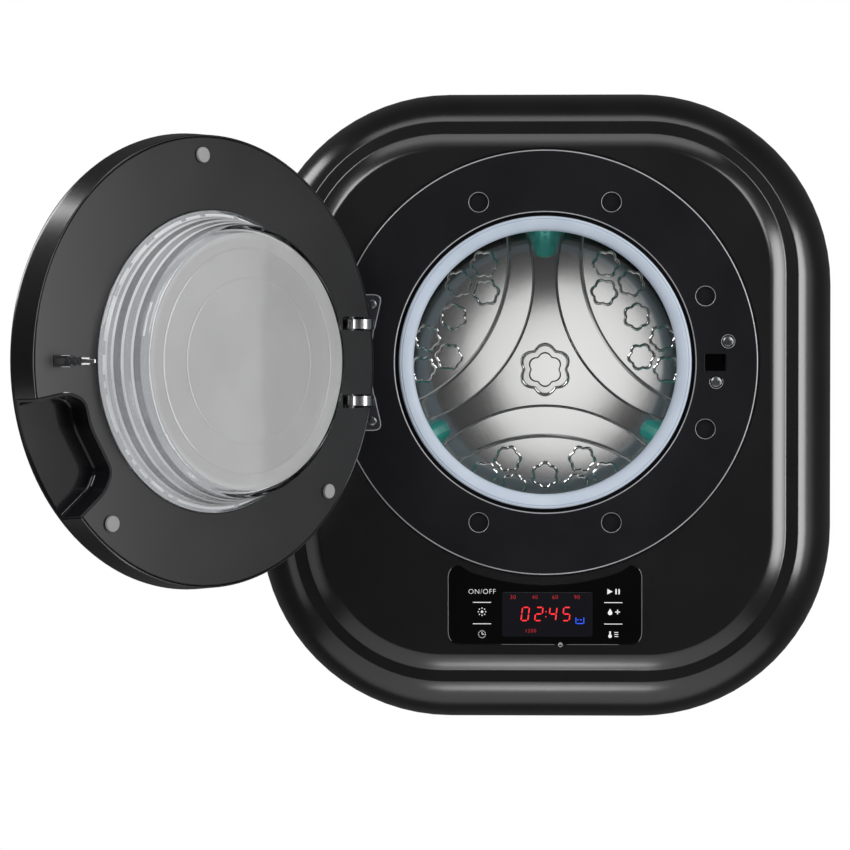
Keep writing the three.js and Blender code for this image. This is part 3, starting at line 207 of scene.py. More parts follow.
def flower(cx: float, cz: float, radius: float, turn: float, points: int = 96) -> list[Point]:
    """A rosette of six round lobes with soft notches between them.

    Args:
        cx: Centre, first coordinate.
        cz: Centre, second coordinate.
        radius: Radius over the lobes.
        turn: Angle of the first lobe, in degrees.
        points: Number of points.

    Returns:
        The outline's points.
    """
    notch, softness = 0.19 * radius, 0.015
    outline = []
    for i in range(points):
        angle = 360 * i / points
        lobe = math.sqrt(math.cos(math.radians(3 * angle)) ** 2 + softness)
        outline.append(polar(radius - notch * (1 - lobe), angle + turn, (cx, cz)))
    return outline


def star(plate: float, reach: float, radius: float, steps: int = 40) -> list[Point]:
    """The drum's three-armed star: a disc with a big circle cut from it on each pad's axis.

    Args:
        plate: Radius of the disc.
        reach: How far the cutting circles' centres are from the drum's axis.
        radius: Radius of the cutting circles.
        steps: Chords along each cut.

    Returns:
        The outline's points round the drum's axis.
    """
    half = math.acos((reach**2 + radius**2 - plate**2) / (2 * reach * radius))
    beta = math.degrees(half)
    alpha = math.degrees(math.atan2(radius * math.sin(half), reach - radius * math.cos(half)))
    outline: list[Point] = []
    for axis in PAD_AXES:
        cx, cz = polar(reach, axis, (0, DRUM_Z))
        outline += arc(cx, cz, radius, axis + 180 + beta, axis + 180 - beta, steps)
        outline += arc(0, DRUM_Z, plate, axis + alpha, axis + 120 - alpha, 8)[1:-1]
    return outline


@dataclass(frozen=True)
class Section:
    """A rounded rectangle seen from the front.

    Attributes:
        half_w: Half of its width.
        half_h: Half of its height.
        radius: Radius of its corners.
        rise: Height of its centre.
    """

    half_w: float
    half_h: float
    radius: float
    rise: float = 0.0

    def inset(self, by: float) -> "Section":
        """The outline a step further in, concentric with this one."""
        return Section(self.half_w - by, self.half_h - by, self.radius - by, self.rise)

    def toward(self, other: "Section", share: float) -> "Section":
        """A blend with another outline, from 0 (this one) to 1 (the other)."""
        pairs = zip(astuple(self), astuple(other))
        return Section(*[a + (b - a) * share for a, b in pairs])


CABINET = Section(275, 300, 184)
CREASE = Section(237.7, 263.6, 142, 4.1)


# ---------------------------------------------------------------- workbench


class Bench:
    """Blender's modelling tools, driven as by hand."""

    @staticmethod
    def rest() -> None:
        """Leaves edit mode and deselects everything."""
        active = bpy.context.view_layer.objects.active
        if active is not None and active.mode != "OBJECT":
            bpy.ops.object.mode_set(mode="OBJECT")
        bpy.ops.object.select_all(action="DESELECT")

    @staticmethod
    def hold(*things: Thing) -> None:
        """Selects these objects alone, the first of them active."""
        Bench.rest()
        for thing in things:
            thing.select_set(True)
        bpy.context.view_layer.objects.active = things[0]

    @staticmethod
    def edit(thing: Thing) -> None:
        """Opens an object in edit mode with all of it selected."""
        Bench.hold(thing)
        bpy.ops.object.mode_set(mode="EDIT")
        Bench.take_all()

    @staticmethod
    def take_all() -> None:
        """Selects all of the open mesh by its vertices."""
        bpy.ops.mesh.select_mode(type="VERT")
        bpy.ops.mesh.select_all(action="SELECT")

    @staticmethod
    def named(thing: Thing, name: str) -> Thing:
        """Names an object and its mesh."""
        thing.name = name
        thing.data.name = name
        return thing

    @staticmethod
    def opened(name: str) -> Thing:
        """Names the object just added, puts its place into its mesh and opens it in edit mode."""
        thing = Bench.named(bpy.context.object, name)
        bpy.ops.object.transform_apply(location=True, rotation=True, scale=True)
        Bench.edit(thing)
        return thing

    @staticmethod
    def pick(thing: Thing, kind: str, test: Callable[..., bool]) -> None:
        """Selects the elements of the open mesh that pass a test.

        Args:
            thing: The object in edit mode.
            kind: verts, edges or faces.
            test: Takes an element and says if it is wanted.
        """
        bpy.ops.mesh.select_mode(type={"verts": "VERT", "edges": "EDGE", "faces": "FACE"}[kind])
        bpy.ops.mesh.select_all(action="DESELECT")
        body = bmesh.from_edit_mesh(thing.data)
        elements = getattr(body, kind)
        elements.index_update()
        for element in [e for e in elements if test(e)]:
            element.select_set(True)
        body.select_flush_mode()
        bmesh.update_edit_mesh(thing.data)

    @staticmethod
    def seed(name: str, place: Place) -> Thing:
        """Starts a piece as a single vertex, left open in edit mode.

        Args:
            name: Name of the piece.
            place: Where the vertex is, in metres.

        Returns:
            The new object, its origin at the frame's origin.
        """
        Bench.rest()
        bpy.ops.mesh.primitive_plane_add(size=MM, location=place)
        thing = Bench.opened(name)
        bpy.ops.mesh.merge(type="CENTER")
        return thing

    @staticmethod
    def draw(places: Sequence[Place]) -> None:
        """Extrudes the selected vertex, which is at the first place, through the others."""
        for here, there in zip(places, places[1:]):
            step = Vector(there) - Vector(here)
            bpy.ops.mesh.extrude_region_move(TRANSFORM_OT_translate={"value": step})

    @staticmethod
    def close_line(thing: Thing, count: int) -> None:
        """Joins the last vertex of the newest line, which has this many, to its first."""
        total = len(bmesh.from_edit_mesh(thing.data).verts)
        Bench.pick(thing, "verts", lambda v: v.index in (total - count, total - 1))
        bpy.ops.mesh.edge_face_add()

    @staticmethod
    def bridge(thing: Thing, levels: Sequence[float]) -> None:
        """Joins neighbouring rings of the open mesh, each at its own Y in metres."""
        for pair in zip(levels, levels[1:]):
            Bench.pick(
                thing, "verts", lambda v, pair=pair: min(abs(v.co.y - y) for y in pair) < NEAR
            )
            bpy.ops.mesh.select_mode(type="EDGE")
            bpy.ops.mesh.bridge_edge_loops()

    @staticmethod
    def cap(thing: Thing, level: float) -> None:
        """Closes the ring of the open mesh at a Y in metres."""
        Bench.pick(thing, "verts", lambda v: abs(v.co.y - level) < NEAR)
        bpy.ops.mesh.edge_face_add()

    @staticmethod
    def weld(thing: Thing) -> Thing:
        """Merges doubles, turns the faces outwards and leaves edit mode."""
        Bench.take_all()
        bpy.ops.mesh.remove_doubles(threshold=NEAR)
        bpy.ops.mesh.normals_make_consistent(inside=False)
        Bench.rest()
        return thing

    @staticmethod
    def lathe(
        name: str,
        profile: Sequence[Point],
        centre: Point = (0, 0),
        steps: int = 96,
        closed: bool = True,
        way: Carried = Carried.ALONG_Y,
    ) -> Thing:
        """Spins a profile round an axis.

        Args:
            name: Name of the piece.
            profile: Points as (radius, place along the axis).
            centre: The axis's two other coordinates.
            steps: Facets round the axis.
            closed: Whether the profile is a ring; if not, it stays open, or ends on the axis.
            way: The axis's direction.

        Returns:
            The piece.
        """
        places = [way.at(centre[0] + r, centre[1], along) for r, along in profile]
        thing = Bench.seed(name, places[0])
        Bench.draw(places)
        if closed:
            Bench.close_line(thing, len(places))
        Bench.take_all()
        middle, axis = way.at(*centre, 0), way.at(0, 0, 1 / MM)
        bpy.ops.mesh.spin(steps=steps, angle=2 * math.pi, center=middle, axis=axis)
        return Bench.weld(thing)

    @staticmethod
    def spindle(
        name: str, profile: Sequence[Point], centre: Point, steps: int = 48, closed: bool = True
    ) -> Thing:
        """Spins a profile of (radius, z) round an axis along Z at an X and Y."""
        return Bench.lathe(name, profile, centre, steps, closed, Carried.ALONG_Z)

    @staticmethod
    def rod(
        name: str, radius: float, start: float, end: float, centre: Point, steps: int = 64,
        way: Carried = Carried.ALONG_Y,
    ) -> Thing:
        """A round rod from one place along an axis to another, a cutter or a plain pin."""
        profile = [(0, start), (radius, start), (radius, end), (0, end)]
        return Bench.lathe(name, profile, centre, steps, False, way)

    @staticmethod
    def prism(
        name: str,
        outline: Sequence[Point],
        start: float,
        end: float,
        way: Carried = Carried.ALONG_Y,
        steps: Sequence[tuple[float, float]] = (),
        about: Point | None = None,
    ) -> Thing:
        """Carries an outline from one depth to another, then shapes its end face step by step.

        Args:
            name: Name of the piece.
            outline: The closed outline.
            start: Depth of the outline.
            end: Depth that it is carried to.
            way: The way it is carried.
            steps: Steps of the end face, each as (how far in, how far out of the face).
            about: Centre that the steps shrink to, so that they keep the outline's shape; if
                none, the edges move in evenly.

        Returns:
            The piece.
        """
        places = [way.at(a, b, start) for a, b in outline]
        thing = Bench.seed(name, places[0])
        Bench.draw(places)
        bpy.ops.mesh.select_all(action="SELECT")
        bpy.ops.mesh.edge_face_add()
        move = Vector(way.at(0, 0, end)) - Vector(way.at(0, 0, start))
        bpy.ops.mesh.extrude_region_move(TRANSFORM_OT_translate={"value": move})
        if steps:
            bpy.ops.mesh.select_all(action="SELECT")
            bpy.ops.mesh.normals_make_consistent(inside=False)
            axis, level = way.value, end * MM
            Bench.pick(
                thing, "faces", lambda f: abs(f.calc_center_median()[axis] - level) < 5 * NEAR
            )
            reach = max(math.dist(point, about) for point in outline) if about else 0
            for thickness, depth in steps:
                if about is None:
                    sizes = {"thickness": thickness * MM, "depth": depth * MM}
                    bpy.ops.mesh.inset(**sizes, use_even_offset=True)
                    continue
                lift = Vector(way.at(0, 0, math.copysign(1, end - start) * depth))
                bpy.ops.mesh.extrude_region_move(TRANSFORM_OT_translate={"value": lift})
                share = (reach - thickness) / reach
                sizes = [1 if i == axis else share for i in range(3)]
                bpy.ops.transform.resize(value=sizes, center_override=way.at(*about, 0))
                reach -= thickness
        return Bench.weld(thing)

    @staticmethod
    def block(name: str, low: Place, high: Place) -> Thing:
        """A box from its lowest to its highest corner, in mm."""
        return Bench.prism(name, box(*low[:2], *high[:2]), low[2], high[2], Carried.ALONG_Z)

    @staticmethod
    def loft(
        name: str, rings: Sequence[tuple[Section, float]], capped: bool, segments: int = 16
    ) -> Thing:
        """A skin through rounded rectangles, each at its own depth in front of the wall.

        Args:
            name: Name of the piece.
            rings: Sections with their depths, the wall side first.
            capped: Whether the last ring is closed by a face.
            segments: Chords in each corner.

        Returns:
            The piece.
        """
        thing = None
        for section, depth in rings:
            centre = (0, -depth * MM, section.rise * MM)
            if thing is None:
                Bench.rest()
            bpy.ops.mesh.primitive_plane_add(size=2, location=centre, rotation=(math.pi / 2, 0, 0))
            if thing is None:
                thing = Bench.opened(name)
            size = (section.half_w * MM, 1, section.half_h * MM)
            bpy.ops.transform.resize(value=size, center_override=centre)
            bpy.ops.mesh.bevel(
                offset=section.radius * MM,
                offset_type="OFFSET",
                segments=segments,
                affect="VERTICES",
                clamp_overlap=True,
            )
        bpy.ops.mesh.select_all(action="SELECT")
        bpy.ops.mesh.delete(type="ONLY_FACE")
        levels = [-depth * MM for _, depth in rings]
        Bench.bridge(thing, levels)
        if capped:
            Bench.cap(thing, levels[-1])
        return Bench.weld(thing)

    @staticmethod
    def apply(thing: Thing, kind: str, **settings: object) -> Thing:
        """Adds a modifier with these settings and applies it."""
        Bench.hold(thing)
        modifier = thing.modifiers.new(kind.title(), kind)
        for name, value in settings.items():
            setattr(modifier, name, value)
        bpy.ops.object.modifier_apply(modifier=modifier.name)
        return thing

    @staticmethod
    def boolean(thing: Thing, others: Sequence[Thing], operation: str = "DIFFERENCE") -> Thing:
        """Cuts other pieces out of one, or adds them to it; the others are used up."""
        for other in others:
            Bench.apply(thing, "BOOLEAN", operation=operation, solver="EXACT", object=other)
            mesh = other.data
            bpy.data.objects.remove(other)
            bpy.data.meshes.remove(mesh)
        return thing

    @staticmethod
    def wall(thing: Thing, thickness: float) -> Thing:
        """Gives a skin a wall on its inner side, in mm."""
        settings = {"thickness": thickness * MM, "offset": -1, "use_even_offset": True}
        return Bench.apply(thing, "SOLIDIFY", **settings)

    @staticmethod
    def ease(thing: Thing, width: float, segments: int = 3, degrees: float = 40) -> Thing:
        """Rounds a piece's sharp edges by a width in mm."""
        return Bench.apply(
            thing,
            "BEVEL",
            width=width * MM,
            segments=segments,
            limit_method="ANGLE",
            angle_limit=math.radians(degrees),
            miter_outer="MITER_ARC",
        )

    @staticmethod
    def unite(name: str, things: Sequence[Thing]) -> Thing:
        """Joins pieces into one object."""
        Bench.hold(*things)
        bpy.ops.object.join()
        return Bench.named(bpy.context.object, name)

    @staticmethod
    def twin(thing: Thing, name: str, move: Place = (0, 0, 0)) -> Thing:
        """A copy of a piece with its own mesh, moved in mm."""
        copy = thing.copy()
        copy.data = thing.data.copy()
        bpy.context.scene.collection.objects.link(Bench.named(copy, name))
        return Bench.moved(copy, Matrix.Translation(Vector(move) * MM))

    @staticmethod
    def moved(thing: Thing, matrix: Matrix) -> Thing:
        """Moves a piece and puts its new place into its mesh."""
        Bench.hold(thing)
        thing.matrix_world = matrix
        bpy.ops.object.transform_apply(location=True, rotation=True, scale=True)
        return thing

    @staticmethod
    def smooth(thing: Thing, degrees: float = 32) -> Thing:
        """Shades a piece smooth where its faces turn by less than an angle."""
        Bench.hold(thing)
        bpy.ops.object.shade_smooth_by_angle(angle=math.radians(degrees))
        return Bench.apply(thing, "WEIGHTED_NORMAL", keep_sharp=True, weight=100)


def door_place() -> Matrix:
    """Takes the door's own frame (u, n, z) to where the open door stands."""
    pin = Matrix.Translation((PIN[0] * MM, PIN[1] * MM, DOOR_Z * MM))
    swing = Matrix.Rotation(math.radians(-OPEN_DEGREES), 4, "Z")
    centre = Matrix.Translation((-PIN[0] * MM, PIN_DEPTH * MM, 0))
    return pin @ swing @ centre


# ---------------------------------------------------------------- finishes


class Grain(Enum):
    """How a finish's fine relief runs."""

    FINE = "even speckle"
    LEATHER = "moulded cell grain"
    LINES = "brushed along X"
    WAVES = "soft unevenness of a pressed or blown surface"


def linear(colour: str) -> tuple[float, float, float, float]:
    """The shader colour of a written one such as 2b2c30."""
    parts = [int(colour[i : i + 2], 16) / 255 for i in (0, 2, 4)]
    return (*[((c + 0.055) / 1.055) ** 2.4 if c > 0.04045 else c / 12.92 for c in parts], 1.0)


def feed(tree: bpy.types.NodeTree, node: bpy.types.Node, inputs: dict[str | int, object]) -> None:
    """Gives a node's inputs their values, or the sockets that feed them."""
    for socket, value in inputs.items():
        if isinstance(value, bpy.types.NodeSocket):
            tree.links.new(value, node.inputs[socket])
        else:
            node.inputs[socket].default_value = value


def shader_node(
    tree: bpy.types.NodeTree,
    kind: str,
    inputs: dict[str | int, object] | None = None,
    **settings: object,
) -> bpy.types.Node:
    """Adds a shader node.

    Args:
        tree: The node tree.
        kind: The node's type without ShaderNode.
        inputs: Values or feeding sockets of its inputs.
        settings: Its own settings.

    Returns:
        The node.
    """
    node = tree.nodes.new("ShaderNode" + kind)
    for name, value in settings.items():
        setattr(node, name, value)
    feed(tree, node, inputs or {})
    return node


@dataclass(frozen=True)
class Finish:
    """A procedural finish on Object coordinates.

    Attributes:
        name: Name of the material.
        slot: The record's material slot.
        colour: Main colour.
        shade: Colour that the main one wanders to.
        roughness: Middle roughness.
        spread: How far the roughness wanders either way.
        metallic: How metallic it is, from 0 to 1.
        specular: Specular level.
        coat: Weight of a clear coat.
        transmission: Weight of transmission.
        glow: Strength of its own light; on the lifters this glow is painted light.
        patches: Scale of the colour's and roughness's patches, per metre.
        grain: Kind of the fine relief.
        grain_scale: Scale of the fine relief, per metre.
        grain_height: Height of the fine relief, in mm.
    """

    name: str
    slot: str
    colour: str
    shade: str
    roughness: float
    spread: float = 0.04
    metallic: float = 0.0
    specular: float = 0.5
    coat: float = 0.0
    transmission: float = 0.0
    glow: float = 0.0
    patches: float = 14.0
    grain: Grain = Grain.FINE
    grain_scale: float = 1400.0
    grain_height: float = 0.01

    def material(self) -> bpy.types.Material:
        """The material, made on its first use."""
        found = bpy.data.materials.get(self.name)
        return found if found is not None else self._build()

    def _build(self) -> bpy.types.Material:
        """Builds the node tree."""
        made = bpy.data.materials.new(self.name)
        made.use_nodes = True
        tree = made.node_tree
        place = shader_node(tree, "TexCoord").outputs["Object"]
        noise = {"Scale": self.patches, "Detail": 5, "Vector": place}
        patches = shader_node(tree, "TexNoise", noise).outputs["Fac"]
        tint = shader_node(tree, "ValToRGB", {"Fac": patches})
        for i, (stop, colour) in enumerate(((0.32, self.colour), (0.68, self.shade))):
            tint.color_ramp.elements[i].position = stop
            tint.color_ramp.elements[i].color = linear(colour)
        low, high = max(self.roughness - self.spread, 0.01), self.roughness + self.spread
        rough = shader_node(tree, "MapRange", {"To Min": low, "To Max": high, "Value": patches})
        relief = {
            "Strength": 0.6,
            "Distance": self.grain_height * MM,
            "Height": self._relief(tree, place),
        }
        inputs = {
            "Base Color": tint.outputs["Color"],
            "Roughness": rough.outputs["Result"],
            "Normal": shader_node(tree, "Bump", relief).outputs["Normal"],
            "Metallic": self.metallic,
            "Specular IOR Level": self.specular,
            "Coat Weight": self.coat,
            "Coat Roughness": 0.04,
            "Transmission Weight": self.transmission,
            "IOR": 1.46,
        }
        if self.glow:
            inputs |= {"Emission Color": tint.outputs["Color"], "Emission Strength": self.glow}
        feed(tree, tree.nodes["Principled BSDF"], inputs)
        return made

    def _relief(
        self, tree: bpy.types.NodeTree, place: bpy.types.NodeSocket
    ) -> bpy.types.NodeSocket:
        """The height that the bump reads.

        Args:
            tree: The material's node tree.
            place: Object coordinates.

        Returns:
            The socket that holds the height.
        """
        if self.grain is Grain.LINES:
            stretch = {"Scale": (0.02, 1, 1), "Vector": place}
            place = shader_node(tree, "Mapping", stretch).outputs["Vector"]
        inputs = {"Scale": self.grain_scale, "Vector": place}
        if self.grain is Grain.LEATHER:
            cells = shader_node(tree, "TexVoronoi", feature="SMOOTH_F1")
            feed(tree, cells, inputs)
            return cells.outputs["Distance"]
        return shader_node(tree, "TexNoise", {**inputs, "Detail": 3}).outputs["Fac"]


GLOSS = Finish("glossy_black_plastic", "gloss_black", "131314", "171718", 0.22, 0.02, specular=1.0,
               grain=Grain.WAVES, grain_scale=9, grain_height=0.05)
RING = Finish("satin_black_plastic", "ring_black", "18181b", "1d1d20", 0.2, 0.04, specular=0.35)
CUP = Finish("glossy_cup_plastic", "ring_black", "121214", "17171a", 0.12, 0.03)
# Painted highlight: light grey laid on narrow edge faces to draw thin bright lines on the seat
# ring, the fascia's sides and the hinge plate.
EDGE = Finish("painted_edge_highlight", "ring_black", "9a9a9e", "b4b4b8", 0.25, 0.05, metallic=0.2,
              patches=18)
COATED = Finish("coated_hinge_plate", "chrome", "34343a", "3e3e43", 0.28, 0.05, metallic=0.3)
GUNMETAL = Finish("dark_latch_metal", "chrome", "77787b", "8a8b8e", 0.3, 0.08, metallic=0.8)
HOUSING = Finish("grained_grey_plastic", "housing_grey", "2b2c30", "323338", 0.5, 0.06,
                 grain=Grain.LEATHER, grain_scale=900, grain_height=0.06)
FASCIA = Finish("polished_fascia", "fascia_black", "070708", "0a0a0b", 0.05, 0.01, specular=0.3)
SCREEN = Finish("display_glass", "smoked_glass", "15151a", "18181d", 0.08, 0.02, specular=0.4)
DOOR_GREY = Finish("metallic_door_grey", "door_grey", "1e1e1f", "232324", 0.34, 0.04,
                   specular=0.5)
SMOKED = Finish("smoked_window", "smoked_glass", "d0d1d2", "d5d6d7", 0.05, 0.02,
                transmission=1.0, grain=Grain.WAVES, grain_scale=12, grain_height=0.03)
CLEAR = Finish("pressed_glass", "clear_glass", "c6c8ca", "d4d6d8", 0.03, 0.02, transmission=1.0,
               grain=Grain.WAVES, grain_scale=22, grain_height=0.08)
# Painted shade: a grey glass laid on every other band of the bowl's wall, standing for the darker
# bands there.
PAINTED_SHADE_GLASS = Finish("painted_shade_glass_band", "clear_glass", "7c7e80", "909294", 0.05, 0.02,
                    transmission=0.95, grain=Grain.WAVES, grain_scale=30, grain_height=0.05)
# Painted highlight: a near-white glass on the bowl's narrow steps, standing for the bright lines
# there.
PAINTED_HIGHLIGHT_GLASS = Finish("painted_highlight_glass_step", "clear_glass", "e8eaec", "f2f3f4", 0.1, 0.03,
                    transmission=0.3)
MILKY = Finish("milky_bowl_end", "clear_glass", "c2c2c2", "cacaca", 0.08, 0.03,
               transmission=0.4, grain=Grain.WAVES, grain_scale=30, grain_height=0.03)
BOOT = Finish("blue_grey_rubber", "rubber_blue", "b9c4d3", "c3cddb", 0.5, 0.06, patches=30,
              grain_height=0.02)
PAD_RUBBER = Finish("grey_rubber", "rubber_grey", "8f8f8f", "a0a0a0", 0.7, 0.08, grain_height=0.03)
BLACK_RUBBER = Finish("black_rubber", "rubber_black", "17171a", "1e1e20", 0.75, 0.08,
                      grain_height=0.03)
BLACK_PLASTIC = Finish("black_lock_plastic", "plastic_black", "141416", "1b1b1d", 0.45, 0.06,
                       grain=Grain.LEATHER, grain_scale=1100, grain_height=0.04)
STAINLESS = Finish("pressed_stainless", "stainless", "d6d6d5", "e2e2e1", 0.085, 0.02, metallic=1,
                   patches=8, grain=Grain.WAVES, grain_scale=26, grain_height=0.03)
DRUM_WALL = Finish("rolled_stainless", "stainless", "c4c5c6", "d2d3d4", 0.42, 0.05, metallic=1,
                   grain=Grain.LINES, grain_scale=1800, grain_height=0.01)
STEEL = Finish("plain_steel", "steel", "8f9193", "9fa1a3", 0.4, 0.08, metallic=1,
               grain_height=0.03)
SCREW = Finish("bright_zinc", "steel", "8e9193", "9ea1a3", 0.3, 0.06, metallic=1,
               grain_height=0.02)
CHROME = Finish("bright_chrome", "chrome", "bcbcbd", "ccccce", 0.27, 0.04, metallic=1)
ALUMINIUM = Finish("cast_aluminium", "aluminium", "a9abad", "b9bbbd", 0.5, 0.1, metallic=1,
                   grain=Grain.LEATHER, grain_scale=700, grain_height=0.12)
# The lifters' glow is painted light: they give off some light of their own, though they are no
# lamp.
TEAL_PAINTED_GLOW = Finish("teal_lifter_plastic_with_painted_glow", "lifter_teal", "2bb5aa", "3cc7ba", 0.22, 0.06, coat=0.3,
              glow=0.08)
TUB = Finish("natural_tub_plastic", "tub_white", "cfd1d1", "dadcdc", 0.55, 0.08,
             grain=Grain.LEATHER, grain_scale=600, grain_height=0.06)
BOARD = Finish("board_lacquer", "board_green", "1c5636", "236540", 0.45, 0.1, patches=90)
ZINC = Finish("zinc_spangle", "galvanised", "858a8c", "a2a6a8", 0.45, 0.12, metallic=0.9,
              patches=60, grain=Grain.LEATHER, grain_scale=160, grain_height=0.03)
PRINT = Finish("white_print", "fascia_black", "d8d8d8", "e4e4e4", 0.5, 0.05, glow=0.25, patches=60)
PRINT_GREY = Finish("grey_print", "fascia_black", "8a8a8a", "969696", 0.5, 0.05, glow=0.1,
                    patches=60)
LED_RED = Finish("red_led", "smoked_glass", "e0232b", "ee2f36", 0.4, 0.05, glow=0.85, patches=80)
LED_DIM = Finish("dim_red_led", "smoked_glass", "9c1a20", "ad2026", 0.4, 0.05, glow=0.6,
                 patches=80)
LED_BLUE = Finish("blue_led", "smoked_glass", "2446d8", "3158ea", 0.4, 0.05, glow=0.9, patches=80)
FLOOR = Finish("pale_studio_floor", "", "e9e9e8", "eeeeed", 0.8, 0.05, patches=3)


def finish_piece(
    thing: Thing,
    finish: Finish,
    body: str,
    stands_for: Sequence[str] = (),
    degrees: float = 32,
) -> Thing:
    """Shades a piece, gives it its finish and puts it on its body.

    Args:
        thing: The piece.
        finish: Its finish.
        body: The body that it rides on.
        stands_for: CAD nodes that it replaces.
        degrees: Angle up to which faces shade smooth.

    Returns:
        The piece.
    """
    Bench.smooth(thing, degrees)
    thing.data.materials.clear()
    thing.data.materials.append(finish.material())
    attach(thing, body)
    if stands_for:
        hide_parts(*stands_for)
    log.info("%s rides on %s", thing.name, body)
    return thing


def paint(thing: Thing, finish: Finish, test: Callable[[Vector, Vector], bool]) -> None:
    """Gives the faces that pass a test, by centre and normal, a further finish."""
    thing.data.materials.append(finish.material())
    for face in thing.data.polygons:
        if test(face.center, face.normal):
            face.material_index = len(thing.data.materials) - 1


# ---------------------------------------------------------------- cabinet


@dataclass
class Cabinet:
    """The front cover, the rear housing, the back sheet and its wall bushes.

    Attributes:
        shoulder: Depth where the side starts to roll over.
        crease: Depth of the ledge that the roll ends in.
        panel: Depth of the flat front.
        parting: Depth where cover and housing meet.
        skin: Wall thickness.
        opening: Radius of the round opening in the front.
        roll: Angle that the shoulder rolls through.
        reach: Share of the way to the crease that the roll covers.
        ledge: Rings of the ledge and its slope, as (distance in from the crease, rise over it).
    """

    shoulder: float = 188
    crease: float = 246
    panel: float = 254
    parting: float = 119
    skin: float = 2.6
    opening: float = 201.2
    roll: float = 60
    reach: float = 0.985
    ledge: tuple[Point, ...] = (
        (0.1, -0.25), (0.9, 0), (10.9, 0.1), (11.9, 0.4), (12.7, 0.95), (15.4, 2.6), (18, 4.05),
        (20.6, 5.35), (23, 6.45), (24.6, 7.15), (26, 7.65), (27.2, 7.93), (28.4, 8),
    )

    def build(self) -> None:
        """Builds all of it."""
        self._cover()
        self._housing()
        self._back_sheet()
        self._bushes()

    def _cover(self) -> None:
        """The glossy front cover with its stepped, rolled border."""
        end, steps = math.radians(self.roll), 12
        rings = [(CABINET.inset(1.5), self.parting), (CABINET.inset(0.6), self.parting + 24)]
        rings.append((CABINET, self.shoulder - 22))
        for i in range(steps + 1):
            angle = end * i / steps
            share = (1 - math.cos(angle)) / (1 - math.cos(end))
            rise = (self.crease - self.shoulder) * math.sin(angle) / math.sin(end)
            sunk = 0.6 if i == steps else 0
            outline = CABINET.toward(CREASE, share * self.reach)
            rings.append((outline, self.shoulder + rise - sunk))
        rings += [(CREASE.inset(inset), self.crease + rise) for inset, rise in self.ledge]
        shell = Bench.loft("cover_shell", rings, capped=True, segments=18)
        Bench.wall(shell, self.skin)
        hole = Bench.rod("cutter", self.opening, -240, -260, (0, DOOR_Z))
        pocket = Bench.prism("cutter", ControlPanel().outline(0.35), -240, -260)
        Bench.boolean(shell, [hole, pocket])
        self._round_opening(shell)
        finish_piece(shell, GLOSS, "cabinet", ["front_cover"])
        shelf = Bench.lathe(
            "ring_shelf",
            [(184, -248), (206, -248), (206, -251.1), (204.6, -251.2), (184.6, -251.2),
             (184, -250.6)],
            (0, DOOR_Z),
            128,
        )
        finish_piece(shelf, GLOSS, "cabinet")

    def _round_opening(self, shell: Thing) -> None:
        """Rounds the front edges of the openings, which catch the light as thin lines."""
        Bench.edit(shell)
        face = -self.panel * MM

        def at_opening(edge: bmesh.types.BMEdge) -> bool:
            """Whether an edge lies on the front rim of a cut."""
            if any(abs(v.co.y - face) > 5 * NEAR for v in edge.verts) or len(edge.link_faces) != 2:
                return False
            return any(abs(f.normal.y) < 0.2 for f in edge.link_faces)

        Bench.pick(shell, "edges", at_opening)
        bpy.ops.mesh.bevel(offset=0.7 * MM, segments=3, affect="EDGES", clamp_overlap=True)
        Bench.rest()

    def _housing(self) -> None:
        """The rear housing, open to the wall, with cuts for the tray and the fittings."""
        back = CABINET.inset(3)
        rings = [(back.inset(8.6), 0.4), (back.inset(6), 0.9)]
        for i in range(1, 7):
            angle = math.radians(15 * i)
            rings.append((back.inset(6 * (1 - math.sin(angle))), 16 - 15.1 * math.cos(angle)))
        rings += [(back, 60), (back, self.parting - 1.2), (back.inset(0.6), self.parting - 0.4)]
        shell = Bench.loft("housing_shell", rings, capped=False, segments=18)
        Bench.wall(shell, self.skin)
        tray = Bench.block("cutter", (-72.4, -103.4, 270), (72.4, -37.5, 310))
        holes = [
            Bench.rod("cutter", r, -310, -270, (x, y), 48, Carried.ALONG_Z)
            for r, x, y in ((13.6, -146, -70), (9.6, 104, -88), (9.4, 20, -60))
        ]
        Bench.boolean(shell, [tray, *holes])
        finish_piece(shell, HOUSING, "cabinet", ["rear_housing"])

    def _back_sheet(self) -> None:
        """The galvanised sheet that lies on the wall, with three raised ribs."""
        plate = CABINET.inset(12.3)
        sheet = Bench.loft(
            "back_sheet",
            [(plate.inset(0.5), 0.0), (plate, 0.5), (plate, 2.0), (plate.inset(0.5), 2.5)],
            capped=True,
            segments=16,
        )
        Bench.edit(sheet)
        Bench.cap(sheet, 0)
        Bench.weld(sheet)
        Bench.boolean(sheet, [Bench.rod("cutter", 10, 2, -6, place) for place in WALL_BOLTS])
        ribs = [(-150, 236, 150, 242), (-230, -60, -224, 120), (224, -60, 230, 120)]
        bars = [Bench.prism("rib", box(*rib, 2.5), -2.4, -4.4, steps=[(0.6, 0.5)]) for rib in ribs]
        sheet = Bench.unite("back_sheet", [sheet, *bars])
        finish_piece(sheet, ZINC, "cabinet", ["back_panel"])

